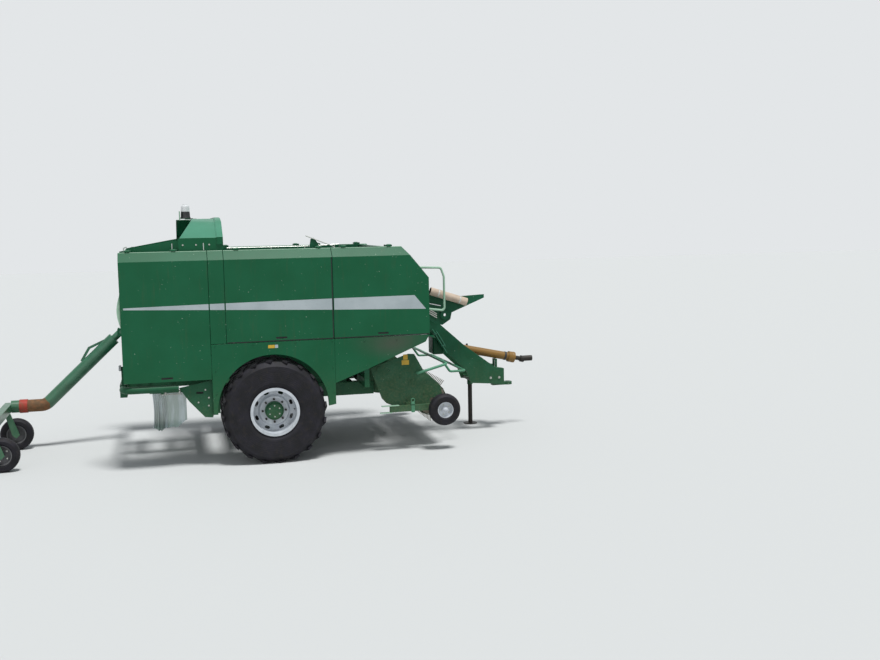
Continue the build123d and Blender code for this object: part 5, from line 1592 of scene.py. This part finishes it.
@dataclass(frozen=True)
class Studio:
    """Floor, backdrop, lamps and the camera at the photograph's place."""

    eye: Point = (-1.170, -13.304, 2.812)
    turn_deg: Point = (-14.844, -5.955, 1.058)  # yaw, pitch and roll from a level look along +y
    focal_px: float = 1018.3
    width_px: int = 880
    sensor_mm: float = 36.0
    floor_reach: float = 60.0
    floor_colour: str = "#c3c5c4"
    sky_colour: str = "#dfe6ee"  # lights the machine
    sky_strength: float = 0.4
    seen_colour: str = "#e3e6e8"  # what the camera and reflections meet past the floor
    # direction, strength and width in degrees of each lamp
    lamps: tuple = (("key", (-0.12, 0.28, -1.0), 3.3, 14), ("fill", (0.5, 0.9, -0.35), 0.4, 60))

    def camera(self) -> None:
        """Stand the camera where the photograph was taken from."""
        data = bpy.data.cameras.new("camera")
        data.sensor_width = self.sensor_mm
        data.lens = self.focal_px / self.width_px * self.sensor_mm
        camera = bpy.data.objects.new("camera", data)
        yaw, pitch, roll = (math.radians(turn) for turn in self.turn_deg)
        look = Matrix.Rotation(yaw, 4, "Z") @ Matrix.Rotation(pitch, 4, "X")
        look = look @ Matrix.Rotation(roll, 4, "Y") @ Matrix.Rotation(math.radians(90), 4, "X")
        camera.matrix_world = Matrix.Translation(self.eye) @ look
        bpy.context.scene.collection.objects.link(camera)
        bpy.context.scene.camera = camera

    def floor(self) -> None:
        """A wide pale floor."""
        far = self.floor_reach
        mesh = bpy.data.meshes.new("floor")
        mesh.from_pydata([(-far, -far, 0), (far, -far, 0), (far, far, 0), (-far, far, 0)], [], [(0, 1, 2, 3)])
        floor = bpy.data.objects.new("floor", mesh)
        bpy.context.scene.collection.objects.link(floor)
        graph = Graph.named("pale_studio_floor")
        mesh.materials.append(graph.finish({"Base Color": linear(self.floor_colour), "Roughness": 0.9}))

    @staticmethod
    def lamp(name: str, aim: Point, strength: float, angle: float) -> None:
        """Add one soft far lamp that shines along a direction.

        Args:
            name: the lamp's name.
            aim: the direction of its light.
            strength: its light in watts per square metre.
            angle: how wide it looks from the floor, in degrees.
        """
        data = bpy.data.lights.new(name, "SUN")
        data.energy = strength
        data.angle = math.radians(angle)
        lamp = bpy.data.objects.new(name, data)
        lamp.rotation_euler = Vector(aim).to_track_quat("-Z", "Y").to_euler()
        bpy.context.scene.collection.objects.link(lamp)

    def sky(self) -> None:
        """Soft light all round, and white where the camera sees past the floor."""
        world = bpy.data.worlds.new("studio")
        bpy.context.scene.world = world
        world.use_nodes = True
        tree = world.node_tree
        tree.nodes.clear()
        path = add_node(tree, "LightPath")
        seen = add_node(tree, "Math", {0: path.outputs["Is Camera Ray"], 1: path.outputs["Is Glossy Ray"]},
                        operation="ADD")
        seen = add_node(tree, "Math", {0: seen.outputs[0], 1: path.outputs["Is Transmission Ray"]},
                        operation="ADD", use_clamp=True)
        soft = add_node(tree, "Background", {"Color": linear(self.sky_colour), "Strength": self.sky_strength})
        white = add_node(tree, "Background", {"Color": linear(self.seen_colour), "Strength": 1.0})
        both = add_node(tree, "MixShader", {0: seen.outputs[0], 1: soft.outputs[0], 2: white.outputs[0]})
        add_node(tree, "OutputWorld", {"Surface": both.outputs[0]})

    def build(self) -> None:
        """Set the whole stage."""
        self.camera()
        self.floor()
        for lamp in self.lamps:
            self.lamp(*lamp)
        self.sky()
        bpy.context.scene.view_settings.view_transform = "Standard"


def main() -> None:
    """Dress the frame and build every piece."""
    logging.basicConfig(level=logging.INFO, format="%(name)s: %(message)s")
    Studio().build()
    for dress in DRESSES:
        dress.apply()
    bpy.context.view_layer.update()
    for part in PARTS:
        part.build()


if __name__ == "__main__":
    main()
